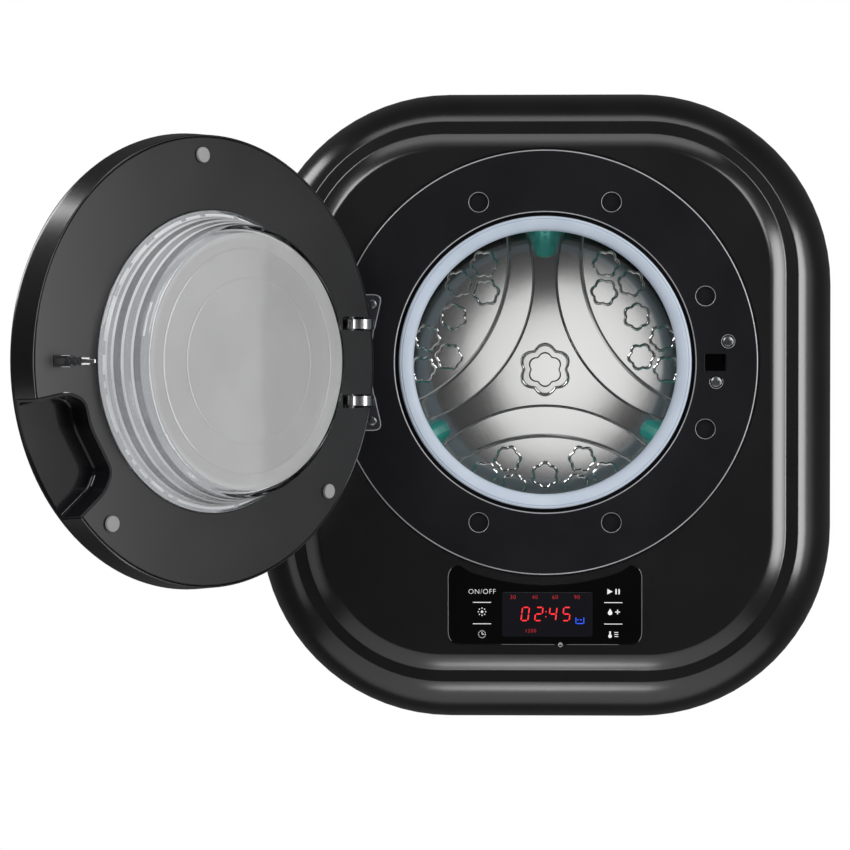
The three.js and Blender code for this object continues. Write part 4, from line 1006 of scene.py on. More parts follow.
    def _bushes(self) -> None:
        """Four rubber bushes for the wall bolts."""
        profile = [(5.2, -0.5), (5.7, 0), (9.2, 0), (9.7, -0.5), (9.7, -2.8), (15.2, -2.8),
                   (16, -3.6), (16, -6.9), (15.3, -7.5), (5.9, -7.5), (5.2, -6.9)]
        first = Bench.lathe("bolt_bush_1", profile, WALL_BOLTS[0], 40)
        bushes = [first]
        for i, (x, z) in enumerate(WALL_BOLTS[1:], 2):
            move = (x - WALL_BOLTS[0][0], 0, z - WALL_BOLTS[0][1])
            bushes.append(Bench.twin(first, f"bolt_bush_{i}", move))
        for i, bush in enumerate(bushes, 1):
            finish_piece(bush, BLACK_RUBBER, "cabinet", [f"wall_bush_{i}"])


# ---------------------------------------------------------------- controls


class Mark(Enum):
    """Generic signs for the touch keys."""

    PLAY = "start"
    DROP = "water"
    DIAL = "programme"
    CLOCK = "later start"
    HEAT = "temperature"


@dataclass
class ControlPanel:
    """The touch fascia under the door, its display and its printed marks.

    Attributes:
        half_w: Half of the fascia's width.
        bottom: Lowest edge.
        shoulder: Height of the upper corners.
        arc_r: Radius of the hollow top edge, about the door's axis.
        corner: Start of the corner curves.
        face: Depth of the fascia's face.
        back: Depth of its back.
        screen: Display opening, as (left, lowest, right, highest).
    """

    half_w: float = 91
    bottom: float = -222.5
    shoulder: float = -154.5
    arc_r: float = 208.5
    corner: float = 12
    face: float = -253.7
    back: float = -252.2
    screen: tuple[float, float, float, float] = (-40, -215.5, 44.6, -173.5)

    def outline(self, grow: float) -> list[Point]:
        """The fascia's outline, grown evenly.

        Args:
            grow: How far the edges move out.

        Returns:
            The outline's points.
        """
        lead, flank = 6, 8
        w, low, high = self.half_w + grow, self.bottom - grow, self.shoulder + lead + grow
        radius, c = self.arc_r - grow, self.corner
        reach = math.degrees(math.asin((w - c - flank) / radius))
        top = arc(0, DOOR_Z, radius, 270 + reach, 270 - reach, 24)
        corners = [(0, high, 0), (-w, high, c), (-w, low, c), (w, low, c), (w, high, c)]
        return rounded(corners)[1:] + top

    def build(self) -> None:
        """Builds the panel."""
        x0, z0, x1, z1 = self.screen
        gap, corner = 0.3, 1.5
        fascia = Bench.prism("fascia_plate", self.outline(0), self.back, self.face + 0.35,
                             steps=[(0.5, 0.3)])
        opening = Bench.prism("cutter", box(*self.screen, corner), -250, -256)
        Bench.boolean(fascia, [opening])
        finish_piece(fascia, FASCIA, "cabinet", ["control_fascia"])
        # Painted highlight: the fascia's side chamfers get light grey lines at its left and right
        # edges.
        paint(fascia, EDGE, lambda c, n: abs(n.x) > 0.4 and n.y < -0.1)
        pane = box(x0 + gap, z0 + gap, x1 - gap, z1 - gap, corner)
        glass = Bench.prism("display_pane", pane, self.back, self.face + 0.2, steps=[(0.2, 0.15)])
        finish_piece(glass, SCREEN, "cabinet", ["display_window"])
        self._keys()
        self._display()

    def _mark(
        self,
        name: str,
        outlines: Sequence[list[Point]],
        finish: Finish,
        sunk: float = 0.02,
        proud: float = 0.04,
    ) -> None:
        """A printed or lit mark: thin films, joined as one piece.

        Args:
            name: Name of the piece.
            outlines: The films' outlines, measured from the door's axis.
            finish: Its finish.
            sunk: How far the films reach into the face.
            proud: How far they stand out of it.
        """
        films = []
        for outline in outlines:
            shape = [(x, DOOR_Z + z) for x, z in outline]
            films.append(Bench.prism("film", shape, self.face + sunk, self.face - proud))
        whole = Bench.unite(name, films) if len(films) > 1 else Bench.named(films[0], name)
        finish_piece(whole, finish, "cabinet")

    def _text(self, name: str, words: str, x: float, z: float, size: float, finish: Finish) -> None:
        """Generic lettering, centred at a place.

        Args:
            name: Name of the piece.
            words: Numbers, or ON and OFF.
            x: Middle, in mm.
            z: Baseline, from the door's axis, in mm.
            size: Letter size, in mm.
            finish: Its finish.
        """
        Bench.rest()
        bpy.ops.object.text_add(location=(0, 0, 0))
        letters = bpy.context.object
        letters.data.body = words
        letters.data.size = size * MM
        letters.data.offset = -0.015 * size * MM
        letters.data.space_character = 1.12
        letters.data.align_x = "CENTER"
        letters.data.extrude = 0.03 * MM
        letters.data.resolution_u = 4
        bpy.ops.object.convert(target="MESH")
        letters = bpy.context.object
        letters.name = name
        place = Matrix.Translation((x * MM, (self.face - 0.01) * MM, (DOOR_Z + z) * MM))
        Bench.moved(letters, place @ Matrix.Rotation(math.pi / 2, 4, "X"))
        finish_piece(letters, finish, "cabinet")

    def _keys(self) -> None:
        """The touch keys' marks and the lines between them."""
        self._text("key_text_power", "ON/OFF", -59, -216.8, 6.6, PRINT)
        for side, x in (("left", -59), ("right", 64)):
            for i, row in enumerate((-224.8, -244.9), 1):
                self._mark(f"key_line_{side}_{i}", [slab(x, row, 17, 0.7)], PRINT)
        signs = (
            ("start", Mark.PLAY, 64, -214.5),
            ("rinse", Mark.DROP, 64, -233.6),
            ("heat", Mark.HEAT, 64, -254.7),
            ("programme", Mark.DIAL, -59, -233.6),
            ("later", Mark.CLOCK, -59, -254.7),
        )
        for name, mark, x, z in signs:
            self._mark(f"key_sign_{name}", self._sign(mark, x, z), PRINT)
        low = -264.4
        for side, a, b in (("left", -41, 9), ("right", 20.6, 69)):
            self._mark(f"lower_line_{side}", [slab((a + b) / 2, low, b - a, 0.6)], PRINT_GREY)
        circle = arc(14.5, DOOR_Z + low, 2.2, 0, 350, 35)
        ring = Bench.prism("lower_dot", circle, self.face, self.face - 0.34,
                           steps=[(0.7, 0.0), (0.2, -0.12)])
        finish_piece(ring, PRINT_GREY, "cabinet")

    def _sign(self, mark: Mark, x: float, z: float) -> list[list[Point]]:
        """The bars and rings of one generic key sign.

        Args:
            mark: Which sign.
            x: Its middle, in mm.
            z: Its middle, in mm.

        Returns:
            An outline for each of them.
        """
        if mark is Mark.PLAY:
            arrow = [(x - 5.6, z - 2.6), (x - 0.6, z), (x - 5.6, z + 2.6)]
            return [arrow, slab(x + 2.6, z, 1.3, 5), slab(x + 5.4, z, 1.3, 5)]
        if mark is Mark.DROP:
            drop = arc(x - 3, z - 0.9, 2.1, 150, 390, 12) + [(x - 3, z + 3.1)]
            return [drop, slab(x + 4, z, 4.4, 1), slab(x + 4, z, 1, 4.4)]
        if mark is Mark.HEAT:
            bulb = arc(x - 3, z - 1.6, 1.7, 115, 425, 12) + [(x - 2.2, z + 2.9), (x - 3.8, z + 2.9)]
            return [bulb] + [slab(x + 2.8, z + k, 3.6, 0.7) for k in (-1.9, 0, 1.9)]
        if mark is Mark.DIAL:
            ticks = [slab(*polar(3.4, 45 * k, (x, z)), 1, 1) for k in range(8)]
            return [*ticks, arc(x, z, 1.2, 0, 330, 11)]
        ticks = [slab(*polar(3.3, 30 * k, (x, z)), 0.7, 0.7) for k in range(12)]
        return [*ticks, slab(x, z + 1.1, 0.6, 2.4), slab(x + 1, z, 2.2, 0.6)]

    def _display(self) -> None:
        """The lit numbers: a clock of seven-segment digits, and small settings above and below."""
        for i, (words, x) in enumerate((("30", -30), ("40", -9.5), ("60", 9.5), ("90", 30)), 1):
            self._text(f"setting_{i}", words, x, -221.6, 5.4, LED_DIM)
        self._text("setting_low", "1200", -13.5, -253, 5, LED_DIM)
        lit = {"2": "abged", "4": "fgbc", "5": "afgcd", "0": "abcdef"}
        digits = zip("0245", (-18.5, -5.7, 7.4, 20.2))
        bars = [bar for digit, x in digits for bar in self._digit(x, -235.6, lit[digit])]
        bars += [slab(0.9, z, 1, 1) for z in (-233.4, -238.2)]
        self._mark("clock_digits", bars, LED_RED, 0.1, 0.03)
        x, z = 32.7, -241.6
        tub = [slab(x, z - 2.9, 6, 0.8), slab(x - 3.7, z, 0.8, 5.6), slab(x + 3.7, z, 0.8, 5.6),
               slab(x - 2, z + 0.6, 1.8, 0.8), slab(x + 1, z + 0.6, 1.8, 0.8)]
        self._mark("wash_sign", tub, LED_BLUE, 0.1, 0.03)

    def _digit(self, x: float, z: float, segments: str) -> list[list[Point]]:
        """The lit bars of one slanted seven-segment digit.

        Args:
            x: Middle of the digit.
            z: Middle of the digit.
            segments: Letters of the lit segments, a at the top, clockwise, g in the middle.

        Returns:
            An outline for each bar.
        """
        w, h, tip, slant = 6.4, 6.2, 0.6, 0.12
        flat = {"a": h, "g": 0.0, "d": -h}
        upright = {"b": (w / 2, h / 2), "c": (w / 2, -h / 2), "e": (-w / 2, -h / 2),
                   "f": (-w / 2, h / 2)}
        bars = []
        for letter in segments:
            if letter in flat:
                y, reach = flat[letter], w / 2 - 0.7
                bar = [(-reach, y), (-reach + tip, y - tip), (reach - tip, y - tip), (reach, y),
                       (reach - tip, y + tip), (-reach + tip, y + tip)]
            else:
                px, y = upright[letter]
                reach = h / 2 - 0.3
                bar = [(px, y - reach), (px + tip, y - reach + tip), (px + tip, y + reach - tip),
                       (px, y + reach), (px - tip, y + reach - tip), (px - tip, y - reach + tip)]
            bars.append([(x + a + slant * b, z + b) for a, b in bar])
        return bars


# ---------------------------------------------------------------- door seat


@dataclass
class DoorSeat:
    """The ring that the door closes on, its screws, the hinge's fixed half and the boot.

    Attributes:
        face: Depth of the ring's face.
        well: Radius of the six wells.
        well_circle: Radius of the circle that they are on.
        latch_x: Middle of the catch hole.
    """

    face: float = -256
    well: float = 9
    well_circle: float = 162
    latch_x: float = 159.3

    def build(self) -> None:
        """Builds all of it."""
        self._ring()
        self._screws()
        self._bracket()
        self._boot()

    def _bowl_cutter(self, radius: float, depth: float, x: float, z: float) -> Thing:
        """A cutter whose cut has a rounded rim."""
        f = self.face
        rim = [(radius, f + 0.5), (radius + 0.15, f + 0.2), (radius + 0.5, f)]
        profile = [(0, f + depth), (radius - 0.6, f + depth), (radius, f + depth - 0.6), *rim,
                   (radius + 0.5, f - 1), (0, f - 1)]
        return Bench.lathe("cutter", profile, (x, z), 40, closed=False)

    def plate_outline(self, grow: float) -> list[Point]:
        """The hinge plate's outline: two ears joined by a strip that follows the boot."""
        left, edge = -169.3 - grow, 162.7 - grow

        def ear(up: int) -> list[tuple[float, float, float]]:
            """Corners of one ear from the strip outwards."""
            return [(-158.6 + grow, DOOR_Z + up * 33, 1.5), (-157.2 + grow, DOOR_Z + up * 40, 2),
                    (-151.6 + grow, DOOR_Z + up * (63.8 + grow), 9),
                    (left, DOOR_Z + up * (63.8 + grow), 1)]

        strip = [(-x, z, 0) for x, z in arc(0, DOOR_Z, edge, -10.5, 10.5, 6)]
        return rounded(strip + ear(1) + ear(-1)[::-1], 5)

    def _ring(self) -> None:
        """The seat ring with its wells, catch hole and screw recesses."""
        f = self.face
        ring = Bench.lathe(
            "seat_ring_face",
            [(140.5, f + 4.6), (199, f + 4.6), (199, f + 1.5), (198.75, f + 0.75),
             (198.3, f + 0.25), (197.6, f), (141.5, f), (140.9, f + 0.25), (140.5, f + 0.8)],
            (0, DOOR_Z),
            160,
        )
        cutters = [
            self._bowl_cutter(self.well, 3.2, *polar(self.well_circle, angle, (0, DOOR_Z)))
            for angle in WELL_ANGLES
        ]
        for x, z in LOCK_SCREWS.values():
            cutters.append(self._bowl_cutter(6, 1.6, x, DOOR_Z + z))
            cutters.append(Bench.rod("cutter", 2.8, f + 6, f - 2, (x, DOOR_Z + z)))
        for x, z in HINGE_SCREWS.values():
            cutters.append(Bench.rod("cutter", 2.8, f + 6, f - 2, (x, DOOR_Z + z)))
        w, h, x = 10.25, 8.2, self.latch_x
        hole = box(x - w, DOOR_Z - h, x + w, DOOR_Z + h, 1.2)
        cutters.append(Bench.prism("cutter", hole, f + 8, f + 0.4, about=(x, DOOR_Z),
                                   steps=[(0, 0.01), (-0.6, 0.4), (0, 2)]))
        cutters.append(Bench.prism("cutter", self.plate_outline(0.3), f + 1.6, f - 2))
        Bench.boolean(ring, cutters)
        finish_piece(ring, RING, "cabinet", ["seat_ring"])

        def moulded(centre: Vector, normal: Vector) -> bool:
            """Whether a face is on a moulded edge of the front, which gets a painted highlight, but
            not on the catch hole's.
            """
            beside = math.hypot(centre.x / MM - x, centre.z / MM - DOOR_Z) > 1.6 * w
            return beside and centre.y < (f + 0.9) * MM and 0.15 < -normal.y < 0.98

        # Painted highlight: light grey lines along the ring's edge, the wells' rims and the screw
        # recesses.
        paint(ring, EDGE, moulded)

    def _screw(self, name: str, node: str, x: float, z: float, face: float, head: float) -> None:
        """One domed cross-head screw.

        Args:
            name: Name of the piece.
            node: The CAD node that it stands for.
            x: Its axis, from the door's axis.
            z: Its axis, from the door's axis.
            face: Depth of its head.
            head: Radius of its head.
        """
        profile = [(0, face)] + [
            (head * math.sin(a), face + 1.3 * (1 - math.cos(a)))
            for a in (math.radians(v) for v in (12, 28, 44, 60, 75, 90))
        ]
        profile += [(2.1, face + 1.35), (2.1, face + 8.2), (1.2, face + 9), (0, face + 9)]
        screw = Bench.lathe(name, profile, (x, DOOR_Z + z), 32, closed=False)
        slots = [
            Bench.prism("cutter", slab(x, DOOR_Z + z, w, h), face + 1.1, face - 1)
            for w, h in ((head * 1.04, 1.1), (1.1, head * 1.04))
        ]
        Bench.boolean(screw, slots)
        finish_piece(screw, SCREW, "cabinet", [node])

    def _screws(self) -> None:
        """The lock's and the hinge's screws."""
        for place, (x, z) in LOCK_SCREWS.items():
            self._screw(f"lock_screw_head_{place}", f"lock_screw_{place}", x, z, self.face, 5.2)
        for place, (x, z) in HINGE_SCREWS.items():
            self._screw(f"hinge_screw_head_{place}", f"hinge_screw_{place}", x, z,
                        self.face - 1.5, 4.3)

    def _bracket(self) -> None:
        """The hinge's fixed half: a plate with two strap arms that reach to the pin."""
        f = self.face
        plate = Bench.prism("hinge_plate", self.plate_outline(0), f + 1.3, f - 0.4,
                            steps=[(0.85, 0.5)])
        holes = [Bench.rod("cutter", r, f + d, f - 2, (x, DOOR_Z + z))
                 for x, z in HINGE_SCREWS.values() for r, d in ((2.6, 3), (4.7, 0.1))]
        Bench.boolean(plate, holes)
        parts = [plate]
        half = ARM_HALF
        path = [(-161, f + 1.1), (-160.9, f - 4), (-161.2, f - 9), (-162.4, f - 13.4),
                (-164.6, f - 17.3), (-167.6, f - 20.3), (-171.4, f - 21.9), (-176.2, f - 22)]
        for up in (1, -1):
            z = DOOR_Z + up * ARM_RISE
            strap = Bench.prism("strap", ribbon(path, 2.8), z - half, z + half, Carried.ALONG_Z)
            foot = Bench.block("foot", (-168.6, f - 2.5, z - half), (-159.8, f + 1, z + half))
            collar = Bench.spindle("eye", box(3.4, z - half, 5, z + half), PIN, 40)
            bore = Bench.rod("cutter", 3.4, z - half - 1, z + half + 1, PIN, 40, Carried.ALONG_Z)
            Bench.boolean(strap, [bore])
            for part in (strap, foot, collar):
                parts.append(Bench.ease(part, 0.45, 3, 50))
        bracket = Bench.unite("hinge_half", parts)
        finish_piece(bracket, CHROME, "cabinet", ["hinge_bracket"], 50)
        low = (f - 0.95) * MM
        paint(bracket, COATED, lambda c, n: c.y > low and n.y < -0.98)
        # Painted highlight: the plate's bevelled edges get light grey lines round the dark plate.
        paint(bracket, EDGE, lambda c, n: c.y > low and -0.98 <= n.y < -0.1)

    def _boot(self) -> None:
        """The pale rubber boot: a soft lip with a groove, a fold and a sleeve."""
        profile = [
            (123.4, -248.6), (123.5, -250.6), (124.1, -252.4), (125.3, -253.9), (127.2, -255.1),
            (129.6, -256.1), (132.6, -256.9), (133.5, -256.95), (133.9, -256.75),
            (134.2, -256.1), (134.5, -256.75), (134.9, -256.95), (135.6, -256.8),
            (136.3, -256.2), (136.8, -255.2), (137.1, -253),
            (137.4, -250.9), (138.6, -249.4), (141.6, -248), (144.6, -247.5), (145.6, -246.8),
            (145.8, -245.6), (145.8, -236.4), (145.3, -236), (143, -236), (142.6, -236.4),
            (142.6, -243.7), (138, -244.6), (132, -246), (127.4, -247.2), (125, -247.7),
        ]
        boot = Bench.lathe("door_boot", profile, (0, DOOR_Z), 144)
        finish_piece(boot, BOOT, "cabinet", ["gasket"], 60)

        def sunk(centre: Vector, _: Vector) -> bool:
            """Whether a face is on the flange below the lip, which gets painted shade in black
            rubber.
            """
            reach = math.hypot(centre.x, centre.z - DOOR_Z * MM)
            return reach > 137 * MM and centre.y > -253 * MM

        # Painted shade: the flange behind the lip gets the black rubber finish, as the shade that
        # falls there.
        paint(boot, BLACK_RUBBER, sunk)


# ---------------------------------------------------------------- drum


@dataclass
class Drum:
    """The embossed back plate, the perforated wall, the front ring and three lifters.

    Attributes:
        radius: Outer radius of the wall.
        plate: Radius of the back plate.
        back: Depth of the plate's back.
        flowers: Places of a pad's flowers, as (distance from the axis, angle from the pad's axis).
    """

    radius: float = 172
    plate: float = 169.8
    back: float = -66
    flowers: tuple[Point, ...] = ((102, 22.5), (102, -22.5), (111, 0), (127.4, 15),
                                  (127.4, -15), (127.4, 30), (127.4, -30))

    def build(self) -> None:
        """Builds all of it."""
        self._back_plate()
        self._wall()
        self._front_ring()
        self._lifters()

    def _back_plate(self) -> None:
        """The pressed plate: pads with flowers, ridges, the raised star and its boss."""
        hub, hub_y, rim_y = 60, -68.3, -70.1
        pads = Bench.lathe(
            "drum_plate",
            [(0, self.back), (self.plate - 0.4, self.back), (self.plate, self.back - 0.4),
             (self.plate, -69.6), (self.plate - 0.5, rim_y), (hub, hub_y), (0, -68.2)],
            (0, DRUM_Z),
            144,
            closed=False,
        )
        band = Bench.prism("band", star(self.plate - 1.4, 232, 162), -67, -69.6,
                           steps=[(1.1, 0.9), (1.0, 0.35)])
        channel = Bench.prism("channel", star(self.plate - 5.6, 232, 166.2), -66.5, -68.9,
                              steps=[(-1.0, 1.2), (-1.1, 0.5), (0, 5)])
        dished = [(0, -69), (45, -69.2), (175, -70.76), (175, -80), (0, -80)]
        hollow = Bench.lathe("cutter", dished, (0, DRUM_Z), 144, closed=False)
        Bench.boolean(channel, [hollow], "INTERSECT")
        Bench.boolean(band, [channel])
        middle = Bench.prism("middle", star(self.plate - 2.6, 189, 150.5), -67, -70.4,
                             steps=[(0.5, 0.9), (0.9, 0.35), (1.4, 0.12)])
        bead = [(0.3, 0.5), (1.1, 0.43), (0.6, 0.02), (1.1, -0.43), (0.3, -0.5)]
        first = Bench.prism("flower", flower(0, 0, 14.8, 0), -67, -69.3, steps=bead,
                            about=(0, 0))
        blooms = []
        dish, seat = (hub_y - rim_y) / (self.plate - 0.5 - hub), 68.9
        tilt = Matrix.Rotation(-math.atan(dish), 4, "Z")
        for axis in PAD_AXES:
            for reach, turn in self.flowers:
                x, z = polar(reach - seat * dish, axis + turn, (0, DRUM_Z))
                y = seat + hub_y - dish * (reach - hub)
                place = Matrix.Translation(Vector((x, y, z)) * MM)
                spin = Matrix.Rotation(-math.radians(axis + turn), 4, "Y")
                blooms.append(Bench.moved(Bench.twin(first, "flower"), place @ spin @ tilt))
        bpy.data.objects.remove(first)
        dome = [(0.3, 0.02), (5.9, 0.02), (0.4, 0.03), (0.6, 0.1), (0.8, 0.04)]
        boss = Bench.prism("boss", flower(0, DRUM_Z, 27.6, 90), -67, -72.2,
                           steps=[*bead, *dome], about=(0, DRUM_Z))
        plate = Bench.unite("drum_plate", [pads, band, middle, boss, *blooms])
        finish_piece(plate, STAINLESS, "drum", ["drum_back"], 38)

    def _wall(self) -> None:
        """The drum's wall with rows of small round drain holes."""
        rows, steps, r = 22, 168, self.radius
        front, back = -202.0, -64.0
        line = [(r, back + (front - back) * i / rows) for i in range(rows + 1)]
        wall = Bench.lathe("drum_wall", line, (0, DRUM_Z), steps, closed=False)
        Bench.edit(wall)
        pitch = 2 * math.pi / steps
        margin, corner = 1.5, 0.95

        def holed(face: bmesh.types.BMFace) -> bool:
            """Whether a face of the grid gets a hole."""
            c = face.calc_center_median()
            row = int((back * MM - c.y) / ((back - front) * MM) * rows)
            column = int((math.atan2(c.z - DRUM_Z * MM, c.x) % (2 * math.pi)) / pitch)
            return 2 <= row < rows - 2 and row % 2 == 0 and (column + row) % 4 == 0

        Bench.pick(wall, "faces", holed)
        bpy.ops.mesh.inset(thickness=margin * MM, use_individual=True)
        bpy.ops.mesh.bevel(offset=corner * MM, segments=1, affect="VERTICES")
        Bench.pick(wall, "faces", lambda f: len(f.verts) == 8)
        bpy.ops.mesh.delete(type="FACE")
        Bench.weld(wall)
        Bench.wall(wall, 1.2)
        finish_piece(wall, DRUM_WALL, "drum", ["drum_shell"], 50)

    def _front_ring(self) -> None:
        """The rolled ring that forms the drum's mouth."""
        profile = [(172, -202.4), (171.6, -204), (170.4, -206.2), (168, -207.7), (165, -208),
                   (141, -208), (138.6, -207.8), (136.6, -206.8), (136, -205.2), (136.3, -204),
                   (137.2, -203.8), (138.4, -205), (140.2, -206), (166, -206), (167.8, -205.2),
                   (168.8, -202.4)]
        ring = Bench.lathe("drum_mouth", profile, (0, DRUM_Z), 144)
        finish_piece(ring, STAINLESS, "drum", ["drum_front_ring"], 50)

    def _lifters(self) -> None:
        """Three tapering teal ridges, modelled once and turned about the axis."""
        base = self.radius - 6.6

        def section(crest: float, half_base: float, half_crest: float) -> list[Point]:
            """The ridge's section, wide at the wall and soft at the crest."""
            side = [(half_base, base), (half_base, base - 3.4), (half_crest + 3.4, crest + 10),
                    (half_crest, crest + 2.6), (half_crest * 0.5, crest)]
            return side + [(-a, b) for a, b in side[::-1]]

        rings = [(section(115, 26, 9), -72.6), (section(115.4, 26, 9), -80),
                 (section(118, 26, 8.5), -100), (section(125, 25, 8.2), -140),
                 (section(132, 24, 8), -180), (section(138.4, 22.4, 7), -197),
                 (section(141.4, 21.4, 6), -200)]
        ridge = None
        for outline, y in rings:
            places = [Carried.ALONG_Y.at(a, b, y) for a, b in outline]
            if ridge is None:
                ridge = Bench.seed("drum_lifter_1", places[0])
            else:
                bpy.ops.mesh.primitive_plane_add(size=MM, location=places[0])
                bpy.ops.mesh.merge(type="CENTER")
            Bench.draw(places)
            Bench.close_line(ridge, len(places))
        levels = [y * MM for _, y in rings]
        Bench.bridge(ridge, levels)
        Bench.cap(ridge, levels[0])
        Bench.cap(ridge, levels[-1])
        Bench.weld(ridge)
        Bench.apply(ridge, "BEVEL", width=1.6 * MM, segments=3, limit_method="ANGLE",
                    angle_limit=math.radians(24))
        holes = [
            Bench.rod("cutter", 1.6, 100, 160, (0, y), 16, Carried.ALONG_Z)
            for y in (-150, -166, -182)
        ]
        Bench.boolean(ridge, holes)
        lifters = [ridge]
        for i, angle in enumerate(LIFTER_ANGLES[1:], 2):
            copy = Bench.twin(ridge, f"drum_lifter_{i}")
            turn = Matrix.Rotation(math.radians(90 - angle), 4, "Y")
            lifters.append(Bench.moved(copy, Matrix.Translation((0, 0, DRUM_Z * MM)) @ turn))
        Bench.moved(ridge, Matrix.Translation((0, 0, DRUM_Z * MM)))
        for i, lifter in enumerate(lifters, 1):
            # The lifters' finish has a painted glow of its own teal.
            finish_piece(lifter, TEAL_PAINTED_GLOW, "drum", [f"lifter_{i}"], 40)


# ---------------------------------------------------------------- door


@dataclass
class Door:
    """The round door, drawn in its own frame: u to its free side, n towards the machine.

    Attributes:
        radius: Radius at the inner face.
        rim: Radius at the outer edge.
        cup_floor: Depth of the finger cup's floor.
        cup: Corners of the finger cup in u and z.
    """

    radius: float = 192.2
    rim: float = 195
    cup_floor: float = -21.4
    cup: tuple[tuple[float, float, float], ...] = (
        (215, -34, 0), (158, -24, 6), (140.5, -30, 9), (135, -52, 8), (113, -89, 9),
        (121, -106, 8), (152, -130, 0), (190, -162, 0),
    )

    def build(self) -> None:
        """Builds all of it."""
        self._inner_panel()
        self._outer_cover()
        self._window()
        self._bowl()
        self._finger_cup()
        self._pads()
        self._latch()

    def hang(self, thing: Thing, finish: Finish, nodes: Sequence[str], body: str = "door",
             degrees: float = 32) -> Thing:
        """Takes a piece from the door's frame to its place and finishes it."""
        Bench.moved(thing, door_place())
        return finish_piece(thing, finish, body, nodes, degrees)

    def _cutters(self, floor: float) -> list[Thing]:
        """Cutters for the finger cup, down to a floor, and for the two slots of the hinge arms."""
        cup = Bench.prism("cutter", rounded(shrunk(self.cup, -0.3)), 2, floor)
        half = ARM_HALF + 1.6
        slots = [
            Bench.block("cutter", (-199, -22.8, up * ARM_RISE - half),
                        (-151, 2, up * ARM_RISE + half))
            for up in (1, -1)
        ]
        return [cup, *slots]

    def _inner_panel(self) -> None:
        """The grey inner face, a disc with openings for bowl, cup, latch and arms."""
        panel = Bench.lathe(
            "door_face",
            [(129, -3.2), (190, -3.2), (190.4, -2.8), (190.3, -0.9), (189.9, -0.3), (189.2, 0),
             (129.9, 0), (129.2, -0.3), (129, -0.9)],
            steps=160,
        )
        latch = Bench.block("cutter", (153.6, -5, -4.6), (172.6, 2, 4.6))
        Bench.boolean(panel, [*self._cutters(-6), latch])
        self.hang(panel, DOOR_GREY, ["door_inner_panel"])

    def _outer_cover(self) -> None:
        """The glossy outer cover with its deep rim, and the knuckles that hold the pin."""
        r, e = self.radius, self.rim
        cover = Bench.lathe(
            "door_cover",
            [(190.7, -0.6), (191.1, -0.3), (191.7, -0.3), (r, -0.7), (r + 0.4, -4),
             (e - 0.2, -21), (e, -23), (194.8, -24.6), (194.2, -26.2), (193, -27.5),
             (191.2, -28.4), (189, -28.9), (170, -30), (152.4, -30.9), (151.4, -30.9),
             (150.3, -30.2), (150, -28.4), (143, -28.4), (187, -25), (191.4, -21),
             (190.7, -3.5)],
            steps=160,
        )
        Bench.boolean(cover, self._cutters(self.cup_floor - 0.3))
        pin_u, axis = PIN[0], (PIN[0], -PIN_DEPTH)
        parts = [cover]
        for z, long in ((56, 10), (0, 26), (-56, 10)):
            corners = [(pin_u - 6, -26, 1), (pin_u + 6, -26, 1), (pin_u + 6, -11, 5),
                       (pin_u - 6, -11, 5)]
            pillar = Bench.prism("knuckle", rounded(corners), z - long, z + long, Carried.ALONG_Z)
            Bench.boolean(pillar, [Bench.rod("cutter", 3.1, -70, 70, axis, 32, Carried.ALONG_Z)])
            parts.append(pillar)
        self.hang(Bench.unite("door_cover", parts), GLOSS, ["door_outer_cover"])
        pin = [(0, -59), (2.3, -59), (2.8, -58.5), (2.8, 58.5), (2.3, 59), (0, 59)]
        self.hang(Bench.spindle("hinge_rod", pin, axis, 32, False), STEEL, ["hinge_pin"])

    def _window(self) -> None:
        """The smoked outer window, slightly domed."""
        dome = [(149.7 * k / 10, -32 + 1.6 * (k / 10) ** 2) for k in range(10)]
        profile = dome + [(149.2, -30.4), (149.7, -29.9), (149.7, -29), (149.3, -28.7),
                          (100, -29.2), (50, -29.4), (0, -29.5)]
        pane = Bench.lathe("outer_window", profile, steps=128, closed=False)
        self.hang(pane, SMOKED, ["door_window"])

    def _bowl(self) -> None:
        """The pressed glass bowl with steps in its wall and a milky flat end."""
        outer = [(134, -6.2), (134.1, -4.6), (133.6, -3.7), (129.2, -3.4), (128.6, -2.4),
                 (128.4, 0.4), (127.8, 1.2), (125.4, 1.6), (123.6, 2.4), (123, 4), (122.4, 8),
                 (121, 9.5), (120.4, 13), (120, 17.5), (118.4, 19), (118, 23), (117.5, 27),
                 (116.2, 28.5), (115.6, 32), (115, 35.5), (114.2, 37.4), (113, 38.9),
                 (111, 40.2), (108, 40.5), (104, 39.9), (96, 39.9), (95.2, 39.5), (94, 39.5),
                 (93.2, 39.9), (71, 39.9), (70.3, 39.6), (69.3, 39.6), (68.6, 39.9), (0, 39.8)]
        inner = [(0, 36), (47, 36), (48.5, 35.3), (60, 35.3), (61.5, 36), (82, 36), (83, 35.5),
                 (87, 35.5), (88, 36), (104, 36), (108.4, 35.4), (110.6, 33.4), (112.4, 28),
                 (115, 14), (118, 3), (120, -2), (123, -5), (127, -6.4), (132, -6.5)]
        bowl = Bench.lathe("glass_bowl", outer + inner, steps=144, closed=False)
        self.hang(bowl, CLEAR, ["door_bowl"], degrees=60)
        back = door_place().inverted()
        slope, band = 0.3, 9.5

        def on_end(centre: Vector, _: Vector) -> bool:
            """Whether a face is on the bowl's flat end."""
            u, n, z = back @ centre
            return n > 35 * MM and math.hypot(u, z) < 106 * MM

        def on_wall(centre: Vector, normal: Vector, step: bool) -> bool:
            """Whether a face is on a narrow step, which gets a painted highlight, or on a band that
            gets painted shade, of the outer wall.
            """
            u, n, z = back @ centre
            tilt = (back.to_3x3() @ normal).y
            if not 2 * MM < n < 36 * MM or math.hypot(u, z) < 112 * MM or normal.length == 0:
                return False
            return tilt > slope if step else tilt <= slope and int(n / MM / band) % 2 == 1

        paint(bowl, MILKY, on_end)
